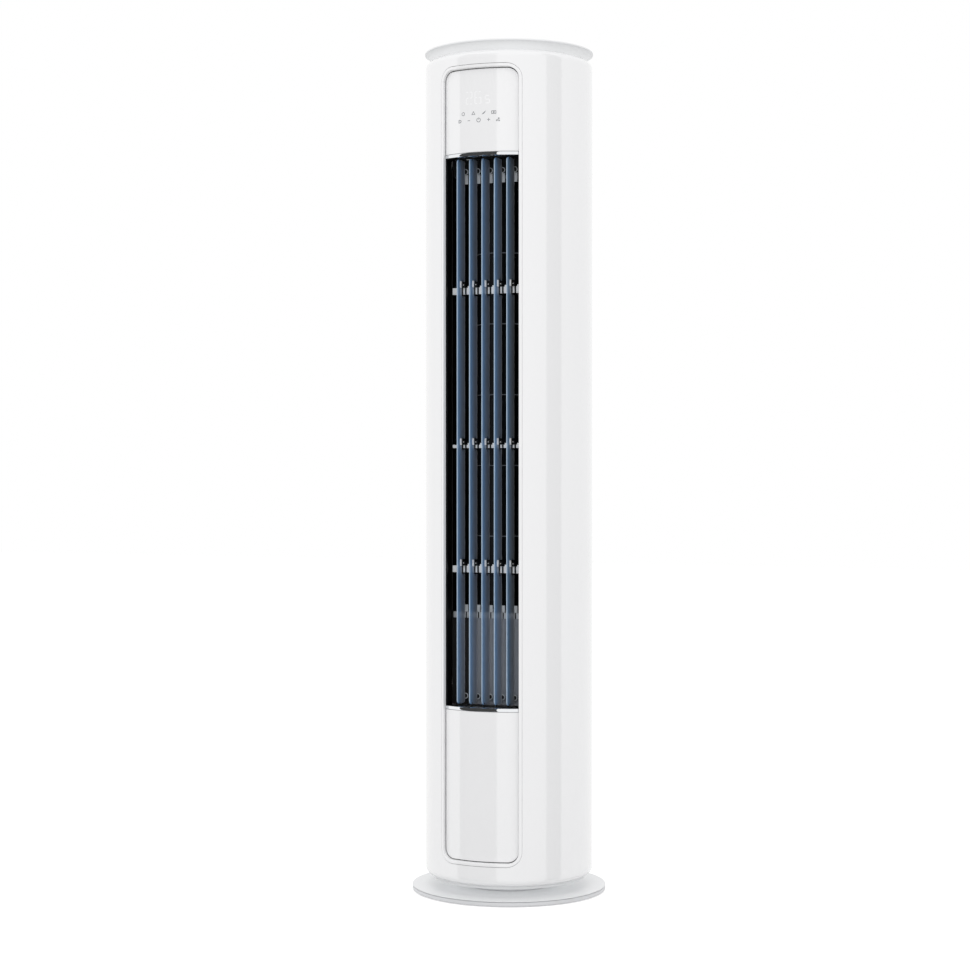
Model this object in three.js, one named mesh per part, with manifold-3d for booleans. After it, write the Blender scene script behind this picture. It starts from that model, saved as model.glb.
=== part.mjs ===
// Floor standing air conditioner: a slim round column on a flat disc base.
//
// Millimetres. The origin is the centre of the underside, +Z is up and the air outlet faces -Y.
// Angles round the column are in degrees from the front, positive towards +X.

import * as THREE from 'three';
import { mergeVertices } from 'three/addons/utils/BufferGeometryUtils.js';
import Module from 'manifold-3d';

const wasm = await Module();
wasm.setup();

// ---------------------------------------------------------------------------
// Driving dimensions
// ---------------------------------------------------------------------------

const GAP = 0.3; // assembly clearance between pieces that seat on each other
const FACETS = 40; // facets in a full turn of a large round piece
const SMALL_FACETS = 8; // facets in a full turn of a pin, boss or screw

// Base and foot of the column
const BASE_RADIUS = 204;
const BASE_THICKNESS = 10.8;
const BASE_LIFT = 1.2; // the anti-slip ring stands this far out of the base
const BASE_CHAMFER = 1.2;
const RING_INSET = 26; // from the base's edge in to the anti-slip ring
const RING_WIDTH = 14;
const RING_THICKNESS = 2;
const COLUMN_LIFT = 16; // air gap between the base and the column
const COLLAR_RADIUS = 95;
const COLLAR_NECK_RADIUS = 78;
const COLLAR_WALL = 4;
const CHASSIS_LIP = 7; // part of the chassis tray that shows below the casing
const CHASSIS_HEIGHT = 34;
const CABLE_HOLE_RADIUS = 60;
const COLLAR_SCREW_COUNT = 3;
const SCREW_RADIUS = 2;
const SCREW_HEAD_RADIUS = 4;
const SCREW_HEAD_HEIGHT = 2.6;

// Casing
const COLUMN_HEIGHT = 1760;
const COLUMN_RADIUS = 176;
const CASING_WALL = 2.5;
const FOOT_FILLET = 15;
const SHOULDER_RADIUS = 16;
const SEAM_ANGLE = 112.5; // edge of the front shell, each side
const CAP_OVERHANG = 1; // cap past the column
const CAP_THICKNESS = 7;
const CAP_EDGE = 1.5;
const NECK_INSET = 10; // neck behind the column's face
const NECK_REVEAL = 13; // neck that shows between the shoulder and the cap
const NECK_WALL = 3;
const CAP_SCREW_SPACING = 240;

// Front window, its frame and the two panels
const WINDOW_HALF_WIDTH = 90;
const WINDOW_BOTTOM = 75.5;
const WINDOW_TOP_MARGIN = 49; // from the top of the column down to the window
const WINDOW_CORNER = 30;
const FRAME_LIP = 7; // flat rim between the window's edge and the recess
const FRAME_SLOPE = 3; // the recess narrows by this much down to the panels
const PANEL_RECESS = 8;
const PANEL_WALL = 2.5;
const LEDGE_WIDTH = 4;
const FLANGE_WIDTH = 7;
const CONTROL_PANEL_HEIGHT = 168.5;
const LOWER_PANEL_HEIGHT = 306;
const TRIM_HEIGHT = 7;
const PANEL_BOSS_RADIUS = 4;
const LOWER_BOSS_SHARES = [0.12, 0.68]; // share of the lower panel's height below each row of bosses
const LOWER_BOSS_INSET = 16;
const DISPLAY_BOSS_INSET = 8;
const DISPLAY_DROP = 20; // display board below the panel's top
const LAMP_HALF_WIDTH = 30; // block of lamps behind the display
const LAMP_HEIGHT = 22;
const LAMP_RISE = 40;
const LAMP_DEPTH = 8;
const PLUG_HALF_WIDTH = 12;
const PLUG_HEIGHT = 8;
const PLUG_RISE = 8;
const PLUG_DEPTH = 10;

// Air outlet and its louvres
const DUCT_WALL = 2.4;
const POCKET_DEPTH = 7.7; // the duct widens behind the frame so that the link bars can swing
const LOUVER_COUNT = 5;
const LOUVER_PITCH = 27.5;
const LOUVER_CHORD = 40;
const LOUVER_THICKNESS = 2.5;
const LOUVER_CORNER = 12;
const LOUVER_FOOT_GAP = 7;
const LOUVER_HEAD_GAP = 2;
const LOUVER_INSET = 26; // front edges behind the column's face
const PIVOT_SETBACK = 12; // pivot axis behind the front edge
const LINK_ARM = 16; // link pin behind the pivot axis
const PIVOT_RADIUS = 2;
const PIVOT_STRIP_WIDTH = 15;
const PIVOT_STRIP_THICKNESS = 3;
const LINK_SHARES = [0.2497, 0.4746, 0.7591]; // share of the outlet's height below each link bar
const LINK_PIN_RADIUS = 1.6;
const LINK_BAR_HALF_LENGTH = 76;
const LINK_BAR_HEIGHTS = [14, 7, 14];
const LINK_BAR_THICKNESS = 3;
const LINK_EYE_WALL = 2.1;
const LINK_SLOT_ABOVE = 13; // free height over a link bar
const LINK_SLOT_BELOW = 3;
const LINK_PIN_SEAT = 4; // a link pin's hold in the louvre at each end
const LINK_SLOT_AHEAD = 5.6; // free depth ahead of the link pin
const SWING_MOTOR_RADIUS = 14;
const SWING_MOTOR_HEIGHT = 18;
const COUPLER_RADIUS = 6;
const COUPLER_HEIGHT = 10;

// Cross-flow fan, its motor and the air path round it
const FAN_DEPTH = 76; // fan axis behind the duct
const FAN_RADIUS = 58;
const FAN_RISE = 201.5; // fan's foot above the outlet's foot
const FAN_SEGMENTS = 6;
const FAN_HEADROOM = 30; // between the fan and the upper deck
const FAN_RING_THICKNESS = 2;
const FAN_BLADE_COUNT = 14;
const FAN_BLADE_DEPTH = 13;
const FAN_BLADE_THICKNESS = 1.6;
const FAN_BLADE_SWEEP = 9; // degrees that a blade's inner edge lags its outer edge
const SHAFT_RADIUS = 6;
const HUB_RADIUS = 16;
const HUB_HEIGHT = 18;
const MOTOR_RADIUS = 46;
const MOTOR_HEIGHT = 96;
const MOTOR_COVER_RADIUS = 54;
const MOTOR_COVER_DROP = 10.5; // top of the cover below the fan
const MOTOR_COVER_WALL = 2.5;
const COVER_HALF_WIDTH = 84;
const COVER_BODY_HALF_WIDTH = 78;
const DUCT_DEPTH = 50; // from the louvre plane back to the fan housing
const VOLUTE_CLEARANCE = 6;
const VOLUTE_END_ANGLE = 150;
const TONGUE_ANGLE = 72;
const TONGUE_CLEARANCE = 8;
const BOSS_RADIUS = 5;
const BOSS_HOLE_RADIUS = 3;
const BOSS_REACH = 6;
const COVER_BOSS_RISE = 17; // above the outlet's foot
const BRACKET_BOSS_DROP = 9.5; // below the upper deck
const BRACKET_DROP = 19; // bracket's lower edge below the upper deck
const TAB_WIDTH = 7;
const TAB_HEIGHT = 15;

// Decks, uprights and heat exchanger
const DECK_THICKNESS = 3;
const MID_DECK_RISE = 53.5; // above the outlet's foot
const UPPER_DECK_DROP = 13.5; // below the outlet's top
const TOP_FRAME_DROP = 45; // below the top of the column
const UPRIGHT_INSET = 26; // inner face behind the column's face
const UPRIGHT_DEPTH = 16;
const UPRIGHT_WIDTH = 30;
const UPRIGHT_WALL = 2;
const COIL_INSET = 33; // outer face behind the column's face
const COIL_DEPTH = 26;
const COIL_START_ANGLE = 75;
const COIL_END_ANGLE = 232;
const COIL_HEADROOM = 34; // between the coil and the upper deck
const FIN_GROOVE_PITCH = 340;
const FIN_GROOVE_HEIGHT = 3;
const FIN_GROOVE_DEPTH = 2;
const END_PLATE_THICKNESS = 2;
const END_PLATE_RIM = 3; // beyond the fins on each side
const BEND_TUBE_RADIUS = 4;
const BEND_RISE = 2; // straight tube above the end plate
const BEND_COUNT = 5;
const PAN_HEIGHT = 20;
const PAN_WALL = 2.5;
const PAN_COIL_GAP = 3.5;
const PAN_MARGIN = 7; // angle by which the pan runs past the coil
const SPIGOT_RADIUS = 8;
const SPIGOT_WALL = 2;
const SPIGOT_LENGTH = 30;
const GAS_PIPE_RADIUS = 8;
const GAS_PIPE_TURN = 20.3; // degrees from the duct's back corner round to the pipe
const GAS_PIPE_RISE = 102; // where it leaves the coil, above the coil's foot
const GAS_PIPE_SWEEP = 60; // how far before the port the pipe turns back
const LIQUID_PIPE_RADIUS = 5;
const LIQUID_PIPE_INSET = 6; // nearer the axis than the gas pipe
const LIQUID_PIPE_TURN = 8.3;
const LIQUID_PIPE_RISE = 142;
const LIQUID_PIPE_SWEEP = 84;
const PIPE_PORT_SPACING = 48; // between the two pipe ends
const PIPE_PORT_LEVEL = 120;
const PIPE_END_LENGTH = 30; // straight run that carries the nut
const PIPE_END_INSET = 22; // pipe ends inside the casing's wall
const PIPE_BEND_LEAD = 12; // length over which a pipe eases into its straight end
const PIPE_BEND_DROP = 30;
const PIPE_LEAN = 4;
const PIPE_TURN_REACH = 20;
const PIPE_TURN_INSET = 14;
const NUT_LENGTH = 18;
const NUT_FLAT = 14;
const NUT_WALL = 5;
const NUT_LIP = 3;

// Rear covers, intake grille and filter
const GRILLE_RISE = 22.5; // above the outlet's foot
const GRILLE_DROP = 200; // below the top of the column
const GRILLE_GAP = 1; // free joint round the grille
const GRILLE_ROWS = 2;
const SLOTS_PER_FACET = 2;
const GRILLE_RIB = 22; // solid band between rows of slots
const HOOK_ANGLE = 22; // each hook's place beside the middle of the grille
const HOOK_HALF_TURN = 4;
const HOOK_DEPTH = 3;
const HOOK_BITE = 0.5;
const HOOK_DROP = 10;
const HOOK_RISE = 4;
const SLOT_WIDTH = 7.6;
const FILTER_RISE = 8; // above the grille's lower edge
const FILTER_DROP = 6; // below the grille's upper edge
const FILTER_MARGIN = 4; // inside the grille's side edges
const FILTER_FRAME_WIDTH = 10;
const FILTER_FRAME_DEPTH = 3;
const FILTER_MESH_THICKNESS = 0.9;
const PORT_WIDTH = 76;
const PORT_HEIGHT = 52;
const GLAND_RADIUS = 8;
const GLAND_FLANGE = 3;
const GLAND_WALL = 4;
const GLAND_DEPTH = 8;
const GLAND_HEIGHT = 3;
const GLAND_LEVEL = 70;
const GLAND_ANGLE = 205;

// Electrical parts
const BOX_HALF_WIDTH = 68;
const BOX_HEIGHT = 300;
const BOX_INSET = 40; // box front behind the column's face
const BOX_DEPTH = 54;
const BOX_WALL = 1.5;
const STANDOFF_RADIUS = 4;
const STANDOFF_LENGTH = 7;
const STANDOFF_SPREAD = 55; // beside the middle of the box
const STANDOFF_RISE = 60; // lower pair above the box's floor
const STANDOFF_DROP = 30; // upper pair below the box's top
const BOARD_THICKNESS = 1.6;
const BOARD_MARGIN = 6; // round the board inside its box
const CAPACITOR_RADIUS = 11;
const CAPACITOR_HEIGHT = 26;
const RELAY_HEIGHT = 18;
const CHIP_HEIGHT = 10;
const FILTER_COIL_HEIGHT = 14;
const TERMINAL_COUNT = 5;
const TERMINAL_HALF_WIDTH = 48;
const TERMINAL_LEVEL = 12; // above the box's floor
const TERMINAL_HEIGHT = 26;
const TERMINAL_DEPTH = 16;
const TERMINAL_WALL = 4;
const DISPLAY_HALF_WIDTH = 56;
const DISPLAY_HEIGHT = 105;
const DISPLAY_SETBACK = 24; // display board behind the column's front

// ---------------------------------------------------------------------------
// Levels and places that follow from them
// ---------------------------------------------------------------------------

const ringRadius = BASE_RADIUS - RING_INSET;
const baseTop = BASE_LIFT + BASE_THICKNESS;
const chassisBottom = baseTop + COLUMN_LIFT;
const chassisFloor = chassisBottom + DECK_THICKNESS;
const casingBottom = chassisBottom + CHASSIS_LIP;
const casingInner = COLUMN_RADIUS - CASING_WALL;
const capRadius = COLUMN_RADIUS + CAP_OVERHANG;
const capUnderside = COLUMN_HEIGHT - CAP_THICKNESS;
const neckRadius = COLUMN_RADIUS - NECK_INSET;
const casingMouth = neckRadius + GAP;
const shoulderCentre = COLUMN_RADIUS - SHOULDER_RADIUS;
const shoulderAngle = Math.acos((casingMouth - shoulderCentre) / SHOULDER_RADIUS);
const shoulderLevel = capUnderside - NECK_REVEAL - SHOULDER_RADIUS * Math.sin(shoulderAngle);

const recessHalfWidth = WINDOW_HALF_WIDTH - FRAME_LIP;
const panelHalfWidth = recessHalfWidth - FRAME_SLOPE;
const panelRadius = COLUMN_RADIUS - PANEL_RECESS;
const ledgeRadius = panelRadius - PANEL_WALL - GAP;
const windowTop = COLUMN_HEIGHT - WINDOW_TOP_MARGIN;
const panelTop = windowTop - FRAME_LIP - FRAME_SLOPE;
const panelBottom = WINDOW_BOTTOM + FRAME_LIP + FRAME_SLOPE;
const controlBottom = panelTop - CONTROL_PANEL_HEIGHT;
const outletTop = controlBottom - TRIM_HEIGHT;
const lowerTop = panelBottom + LOWER_PANEL_HEIGHT;
const outletBottom = lowerTop + TRIM_HEIGHT;
const topFrameLevel = COLUMN_HEIGHT - TOP_FRAME_DROP;
const upperDeckLevel = outletTop - UPPER_DECK_DROP;
const midDeckLevel = outletBottom + MID_DECK_RISE;
const grilleBottom = outletBottom + GRILLE_RISE;
const grilleTop = COLUMN_HEIGHT - GRILLE_DROP;
const boxFront = COLUMN_RADIUS - BOX_INSET;
const uprightInner = COLUMN_RADIUS - UPRIGHT_INSET;

const louverPlane = COLUMN_RADIUS - LOUVER_INSET;
const ductHalfWidth = panelHalfWidth + GAP; // inner faces of the duct's sides
const ductBack = louverPlane - DUCT_DEPTH; // depths are measured in front of the column's axis
const trimBack = louverPlane - 4;
const stripFront = trimBack - GAP;
const stripTopLevel = outletTop;
const ceilingLevel = outletTop + PIVOT_STRIP_THICKNESS + GAP;
const floorLevel = outletBottom - PIVOT_STRIP_THICKNESS - GAP;
const louverPivot = louverPlane - PIVOT_SETBACK;
const louverBottom = outletBottom + LOUVER_FOOT_GAP;
const louverTop = outletTop - LOUVER_HEAD_GAP;
const linkPinDepth = louverPivot - LINK_ARM;
const linkLevels = LINK_SHARES.map((share) => outletBottom + share * (outletTop - outletBottom));
const housingFront = ductBack - GAP;
const deckFront = housingFront - MOTOR_COVER_WALL - GAP;

const deckRadius = uprightInner - GAP;
const fanSetback = ductBack - FAN_DEPTH; // fan axis in front of the column's axis
const fanBottom = outletBottom + FAN_RISE;
const fanTop = upperDeckLevel - FAN_HEADROOM;
const fanSegmentHeight = (fanTop - fanBottom) / FAN_SEGMENTS;
const motorCoverTop = fanBottom - MOTOR_COVER_DROP;
const coverBossLevel = outletBottom + COVER_BOSS_RISE;
const bracketBottom = upperDeckLevel - BRACKET_DROP;
const bracketBossLevel = upperDeckLevel - BRACKET_BOSS_DROP;
const midDeckTop = midDeckLevel + DECK_THICKNESS;
const panFloor = midDeckTop + GAP + PAN_WALL;
const coilBottom = panFloor + GAP;
const coilTop = upperDeckLevel - COIL_HEADROOM;
const coilOuterRadius = COLUMN_RADIUS - COIL_INSET;
const coilInnerRadius = coilOuterRadius - COIL_DEPTH;
const motorBottom = midDeckTop + GAP;
const filterOuter = casingInner - GAP;
const facetFlat = Math.cos(Math.PI / FACETS); // a facet's middle lies this share of the radius out

// ---------------------------------------------------------------------------
// Finishes
// ---------------------------------------------------------------------------

const FINISHES = {
  glossWhite: { color: 0xf4f5f5, roughness: 0.16, metalness: 0 },
  satinWhite: { color: 0xeceded, roughness: 0.42, metalness: 0 },
  chrome: { color: 0xe6e8ea, roughness: 0.08, metalness: 1 },
  smokyBlue: { color: 0x3c536b, roughness: 0.2, metalness: 0 },
  blackPlastic: { color: 0x0b0b0c, roughness: 0.5, metalness: 0 },
  greyPlastic: { color: 0x55575a, roughness: 0.5, metalness: 0 },
  lightGrey: { color: 0xb9bdc0, roughness: 0.45, metalness: 0 },
  fanPlastic: { color: 0x15161a, roughness: 0.45, metalness: 0 },
  galvanised: { color: 0xa9adaf, roughness: 0.4, metalness: 1 },
  aluminium: { color: 0xc5c8ca, roughness: 0.35, metalness: 1 },
  copper: { color: 0xb87048, roughness: 0.3, metalness: 1 },
  brass: { color: 0xc2a150, roughness: 0.3, metalness: 1 },
  steel: { color: 0x9a9da0, roughness: 0.3, metalness: 1 },
  rubber: { color: 0x1c1c1d, roughness: 0.85, metalness: 0 },
  boardGreen: { color: 0x1d5a38, roughness: 0.4, metalness: 0 },
};

// ---------------------------------------------------------------------------
// Solids
// ---------------------------------------------------------------------------

// A closed three.js geometry as a solid; triangles that fold up at a pole are left out.
function toSolid(geometry) {
  const bare = geometry.clone();
  bare.deleteAttribute('normal');
  bare.deleteAttribute('uv');
  const merged = mergeVertices(bare, 1e-4);
  const index = merged.index.array;
  const triangles = [];
  for (let i = 0; i < index.length; i += 3) {
    const [a, b, c] = [index[i], index[i + 1], index[i + 2]];
    if (a !== b && b !== c && c !== a) triangles.push(a, b, c);
  }
  return new wasm.Manifold(new wasm.Mesh({
    numProp: 3,
    vertProperties: merged.attributes.position.array,
    triVerts: Uint32Array.from(triangles),
  }));
}

function toGeometry(solid) {
  const mesh = solid.getMesh();
  const geometry = new THREE.BufferGeometry();
  geometry.setAttribute('position', new THREE.BufferAttribute(mesh.vertProperties, 3));
  geometry.setIndex(new THREE.BufferAttribute(mesh.triVerts, 1));
  geometry.computeVertexNormals();
  return geometry;
}

const join = (...solids) => solids.flat().reduce((all, next) => all.add(next));
const radians = THREE.MathUtils.degToRad;

// The point of the plan at a radius and an angle from the front.
function polar(radius, angle, centreDepth = 0) {
  const turn = radians(angle);
  return new THREE.Vector2(radius * Math.sin(turn), -centreDepth - radius * Math.cos(turn));
}

// A closed profile of [radius, level] points turned round the column's axis.
function revolve(profile, facets = FACETS) {
  const points = profile.map((p) => (p.isVector2 ? p : new THREE.Vector2(...p)));
  if (THREE.ShapeUtils.area(points) < 0) points.reverse();
  if (points.some((p) => p.x > 0) && points.every((p) => p.x > 0)) points.push(points[0].clone());
  return toSolid(new THREE.LatheGeometry(points, facets).rotateX(Math.PI / 2));
}

function ring(inner, outer, bottom, top, facets = FACETS) {
  return revolve([[inner, bottom], [outer, bottom], [outer, top], [inner, top]], facets);
}

function disc(radius, bottom, top, facets = FACETS) {
  return revolve([[0, bottom], [radius, bottom], [radius, top], [0, top]], facets);
}

// A plan outline raised from one level to another.
function raise(shape, bottom, top, curveSegments = 8) {
  const options = { depth: top - bottom, bevelEnabled: false, curveSegments };
  return toSolid(new THREE.ExtrudeGeometry(shape, options).translate(0, 0, bottom));
}

// A front outline (x, level) pushed through from y = front to y = back.
function pushBack(shape, front, back, curveSegments = 3) {
  const options = { depth: back - front, bevelEnabled: false, curveSegments };
  return toSolid(new THREE.ExtrudeGeometry(shape, options).rotateX(Math.PI / 2).translate(0, back, 0));
}

// A side outline (y, level) pushed from x = left to x = right.
function pushAcross(shape, left, right, curveSegments = 6) {
  const options = { depth: right - left, bevelEnabled: false, curveSegments };
  const geometry = new THREE.ExtrudeGeometry(shape, options).rotateX(Math.PI / 2).rotateZ(Math.PI / 2);
  return toSolid(geometry.translate(left, 0, 0));
}

function block(x0, x1, y0, y1, z0, z1) {
  const geometry = new THREE.BoxGeometry(x1 - x0, y1 - y0, z1 - z0);
  return toSolid(geometry.translate((x0 + x1) / 2, (y0 + y1) / 2, (z0 + z1) / 2));
}

function pin(x, y, radius, bottom, top, facets = SMALL_FACETS) {
  return disc(radius, bottom, top, facets).translate([x, y, 0]);
}

// A pin that lies along Y, from y = front to y = back.
function frontPin(x, level, radius, front, back, facets = SMALL_FACETS) {
  return disc(radius, 0, back - front, facets).rotate([-90, 0, 0]).translate([x, front, level]);
}

// The slice of the column between two angles from the front.
function sector(solid, from, to) {
  const reach = 2 * BASE_RADIUS;
  const steps = Math.ceil((to - from) / 30);
  const shape = new THREE.Shape().moveTo(0, 0);
  for (let i = 0; i <= steps; i++) {
    const p = polar(reach, from + ((to - from) * i) / steps);
    shape.lineTo(p.x, p.y);
  }
  return solid.intersect(raise(shape, -10, COLUMN_HEIGHT + 10));
}

const between = (solid, bottom, top) => solid.intersect(disc(2 * BASE_RADIUS, bottom, top, 8));
const behind = (solid, depth) =>
  solid.subtract(block(-BASE_RADIUS, BASE_RADIUS, -BASE_RADIUS, -depth, 0, COLUMN_HEIGHT));

function roundedRect(x0, y0, x1, y1, radius, lowerRadius = radius) {
  const shape = new THREE.Shape();
  shape.moveTo(x0 + lowerRadius, y0);
  shape.lineTo(x1 - lowerRadius, y0);
  shape.absarc(x1 - lowerRadius, y0 + lowerRadius, lowerRadius, -Math.PI / 2, 0);
  shape.lineTo(x1, y1 - radius);
  shape.absarc(x1 - radius, y1 - radius, radius, 0, Math.PI / 2);
  shape.lineTo(x0 + radius, y1);
  shape.absarc(x0 + radius, y1 - radius, radius, Math.PI / 2, Math.PI);
  shape.lineTo(x0, y0 + lowerRadius);
  shape.absarc(x0 + lowerRadius, y0 + lowerRadius, lowerRadius, Math.PI, Math.PI * 1.5);
  return shape;
}

// The plan outline of a sheet of even thickness that follows a line of points.
function sheetOutline(points, thickness) {
  const side = (sign) => points.map((p, i) => {
    const before = points[Math.max(i - 1, 0)];
    const after = points[Math.min(i + 1, points.length - 1)];
    const into = p.clone().sub(i === 0 ? p.clone().multiplyScalar(2).sub(after) : before).normalize();
    const out = (i === points.length - 1 ? into.clone() : after.clone().sub(p).normalize());
    const normal = new THREE.Vector2(-into.y - out.y, into.x + out.x).normalize();
    const mitre = normal.dot(new THREE.Vector2(-into.y, into.x));
    return p.clone().addScaledVector(normal, (sign * thickness) / 2 / mitre);
  });
  return new THREE.Shape([...side(1), ...side(-1).reverse()]);
}

// ---------------------------------------------------------------------------
// Scene graph
// ---------------------------------------------------------------------------

const airConditioner = new THREE.Group();
airConditioner.name = 'air_conditioner';

function addPiece(name, solid, finish, parent = airConditioner) {
  const mesh = new THREE.Mesh(toGeometry(solid), new THREE.MeshStandardMaterial(FINISHES[finish]));
  mesh.name = name;
  parent.add(mesh);
  return mesh;
}

// ---------------------------------------------------------------------------
// Base: disc, anti-slip ring, collar and chassis tray
// ---------------------------------------------------------------------------

function addBase() {
  const grooveTop = RING_THICKNESS + GAP;
  const plate = revolve([
    [0, BASE_LIFT],
    [BASE_RADIUS, BASE_LIFT],
    [BASE_RADIUS, baseTop - BASE_CHAMFER],
    [BASE_RADIUS - BASE_CHAMFER, baseTop],
    [0, baseTop],
  ]);
  const groove = ring(ringRadius - RING_WIDTH - GAP, ringRadius + GAP, 0, grooveTop, FACETS / 2);
  const circle = Array.from({ length: COLLAR_SCREW_COUNT }, (_, i) => {
    const step = 360 / COLLAR_SCREW_COUNT;
    return polar((COLLAR_RADIUS + COLLAR_NECK_RADIUS) / 2 + 1, step * (i + 0.5));
  });
  const screwDepth = BASE_THICKNESS * 0.6;
  const pilots = circle.map((p) => (
    pin(p.x, p.y, SCREW_RADIUS + GAP, baseTop - screwDepth - GAP, baseTop + 1)
  ));
  addPiece('base_plate', plate.subtract(groove).subtract(join(pilots)), 'satinWhite');
  addPiece('foot_ring', ring(ringRadius - RING_WIDTH, ringRadius, 0, RING_THICKNESS, FACETS / 2), 'rubber');

  const collarBottom = baseTop + GAP;
  const collarTop = chassisBottom - GAP;
  const collar = revolve([
    [CABLE_HOLE_RADIUS, collarBottom],
    [COLLAR_RADIUS, collarBottom],
    [COLLAR_RADIUS, collarBottom + COLLAR_WALL],
    [COLLAR_NECK_RADIUS, collarBottom + COLLAR_WALL],
    [COLLAR_NECK_RADIUS, collarTop - COLLAR_WALL],
    [COLLAR_RADIUS - COLLAR_WALL, collarTop],
    [CABLE_HOLE_RADIUS, collarTop],
  ], FACETS / 2);
  const holes = circle.map((p) => (
    pin(p.x, p.y, SCREW_RADIUS + GAP, collarBottom - 1, collarBottom + COLLAR_WALL + 1)
  ));
  addPiece('pedestal_collar', collar.subtract(join(holes)), 'satinWhite');

  const headBottom = collarBottom + COLLAR_WALL + GAP;
  const screw = join(
    disc(SCREW_RADIUS, baseTop - screwDepth, headBottom + 1, SMALL_FACETS),
    disc(SCREW_HEAD_RADIUS, headBottom, headBottom + SCREW_HEAD_HEIGHT, SMALL_FACETS),
  );
  circle.forEach((p, i) => {
    addPiece(`collar_screw_${i + 1}`, screw, 'steel').position.set(p.x, p.y, 0);
  });

  // A tray whose rim stands inside the casing's turned-in foot.
  const rimOuter = COLUMN_RADIUS - FOOT_FILLET - 1;
  addPiece('bottom_chassis', revolve([
    [CABLE_HOLE_RADIUS, chassisBottom],
    [rimOuter, chassisBottom],
    [rimOuter, chassisBottom + CHASSIS_HEIGHT],
    [rimOuter - DECK_THICKNESS, chassisBottom + CHASSIS_HEIGHT],
    [rimOuter - DECK_THICKNESS, chassisFloor],
    [CABLE_HOLE_RADIUS, chassisFloor],
  ]), 'galvanised');
}

// ---------------------------------------------------------------------------
// Casing: front shell, rear covers, cap and top frame
// ---------------------------------------------------------------------------

// The whole round casing, with a turned-in foot and a rounded shoulder.
function casingRing() {
  const arc = (centre, level, radius, from, to) => {
    const curve = new THREE.EllipseCurve(centre, level, radius, radius, from, to, to < from);
    return curve.getPoints(3);
  };
  const inner = SHOULDER_RADIUS - CASING_WALL;
  const innerAngle = Math.acos((casingMouth - shoulderCentre) / inner);
  const footCentre = COLUMN_RADIUS - FOOT_FILLET;
  const footLevel = casingBottom + FOOT_FILLET;
  return revolve([
    ...arc(footCentre, footLevel, FOOT_FILLET, -Math.PI / 2, 0),
    ...arc(shoulderCentre, shoulderLevel, SHOULDER_RADIUS, 0, shoulderAngle),
    ...arc(shoulderCentre, shoulderLevel, inner, innerAngle, 0),
    ...arc(footCentre, footLevel, FOOT_FILLET - CASING_WALL, 0, -Math.PI / 2),
  ]);
}

function windowOutline(inset, corner = Math.max(WINDOW_CORNER - inset, 2)) {
  const half = WINDOW_HALF_WIDTH - inset;
  return roundedRect(-half, WINDOW_BOTTOM + inset, half, windowTop - inset, corner);
}

function addCasing() {
  const whole = casingRing();
  const seam = THREE.MathUtils.radToDeg(GAP / COLUMN_RADIUS);
  const front = sector(whole, -SEAM_ANGLE + seam, SEAM_ANGLE - seam);
  const opening = pushBack(windowOutline(0), -2 * COLUMN_RADIUS, 0);
  addPiece('front_shell', front.subtract(opening), 'glossWhite');

  const rear = sector(whole, SEAM_ANGLE + seam, 360 - SEAM_ANGLE - seam);
  addPiece('rear_upper_cover', between(rear, grilleTop + GRILLE_GAP, COLUMN_HEIGHT), 'glossWhite');

  const port = roundedRect(
    -PORT_WIDTH / 2, PIPE_PORT_LEVEL - PORT_HEIGHT / 2,
    PORT_WIDTH / 2, PIPE_PORT_LEVEL + PORT_HEIGHT / 2, 12,
  );
  const glandAt = polar(COLUMN_RADIUS, GLAND_ANGLE);
  const glandHole = glandPin(GLAND_RADIUS + GAP, -20, 20);
  const lower = between(rear, 0, grilleBottom - GRILLE_GAP)
    .subtract(pushBack(port, 0, 2 * COLUMN_RADIUS))
    .subtract(glandHole.translate([glandAt.x, glandAt.y, GLAND_LEVEL]));
  addPiece('rear_lower_cover', lower, 'glossWhite');

  addPiece('top_cap', revolve([
    [0, COLUMN_HEIGHT],
    [capRadius - CAP_EDGE, COLUMN_HEIGHT],
    [capRadius, COLUMN_HEIGHT - CAP_EDGE],
    [capRadius, capUnderside],
    [neckRadius, capUnderside],
    [neckRadius, topFrameLevel + DECK_THICKNESS + GAP],
    [neckRadius - NECK_WALL, topFrameLevel + DECK_THICKNESS + GAP],
    [neckRadius - NECK_WALL, capUnderside],
    [0, capUnderside],
  ]), 'satinWhite');

  // The frame ties the uprights and the casing together under the cap.
  let frame = ring(CABLE_HOLE_RADIUS, casingInner - GAP, topFrameLevel, topFrameLevel + DECK_THICKNESS,
    FACETS / 2);
  for (const side of [-1, 1]) {
    frame = frame.subtract(pin((side * CAP_SCREW_SPACING) / 2, 0, SCREW_RADIUS + GAP, topFrameLevel - 1,
      topFrameLevel + DECK_THICKNESS + 1));
  }
  addPiece('top_frame', frame, 'galvanised');
}

// A pin that points out of the casing at the cord gland's angle, centred on the origin.
function glandPin(radius, from, to) {
  return disc(radius, from, to, SMALL_FACETS).rotate([90, 0, GLAND_ANGLE]);
}

// ---------------------------------------------------------------------------
// Front window: frame, panels and trims
// ---------------------------------------------------------------------------

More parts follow.
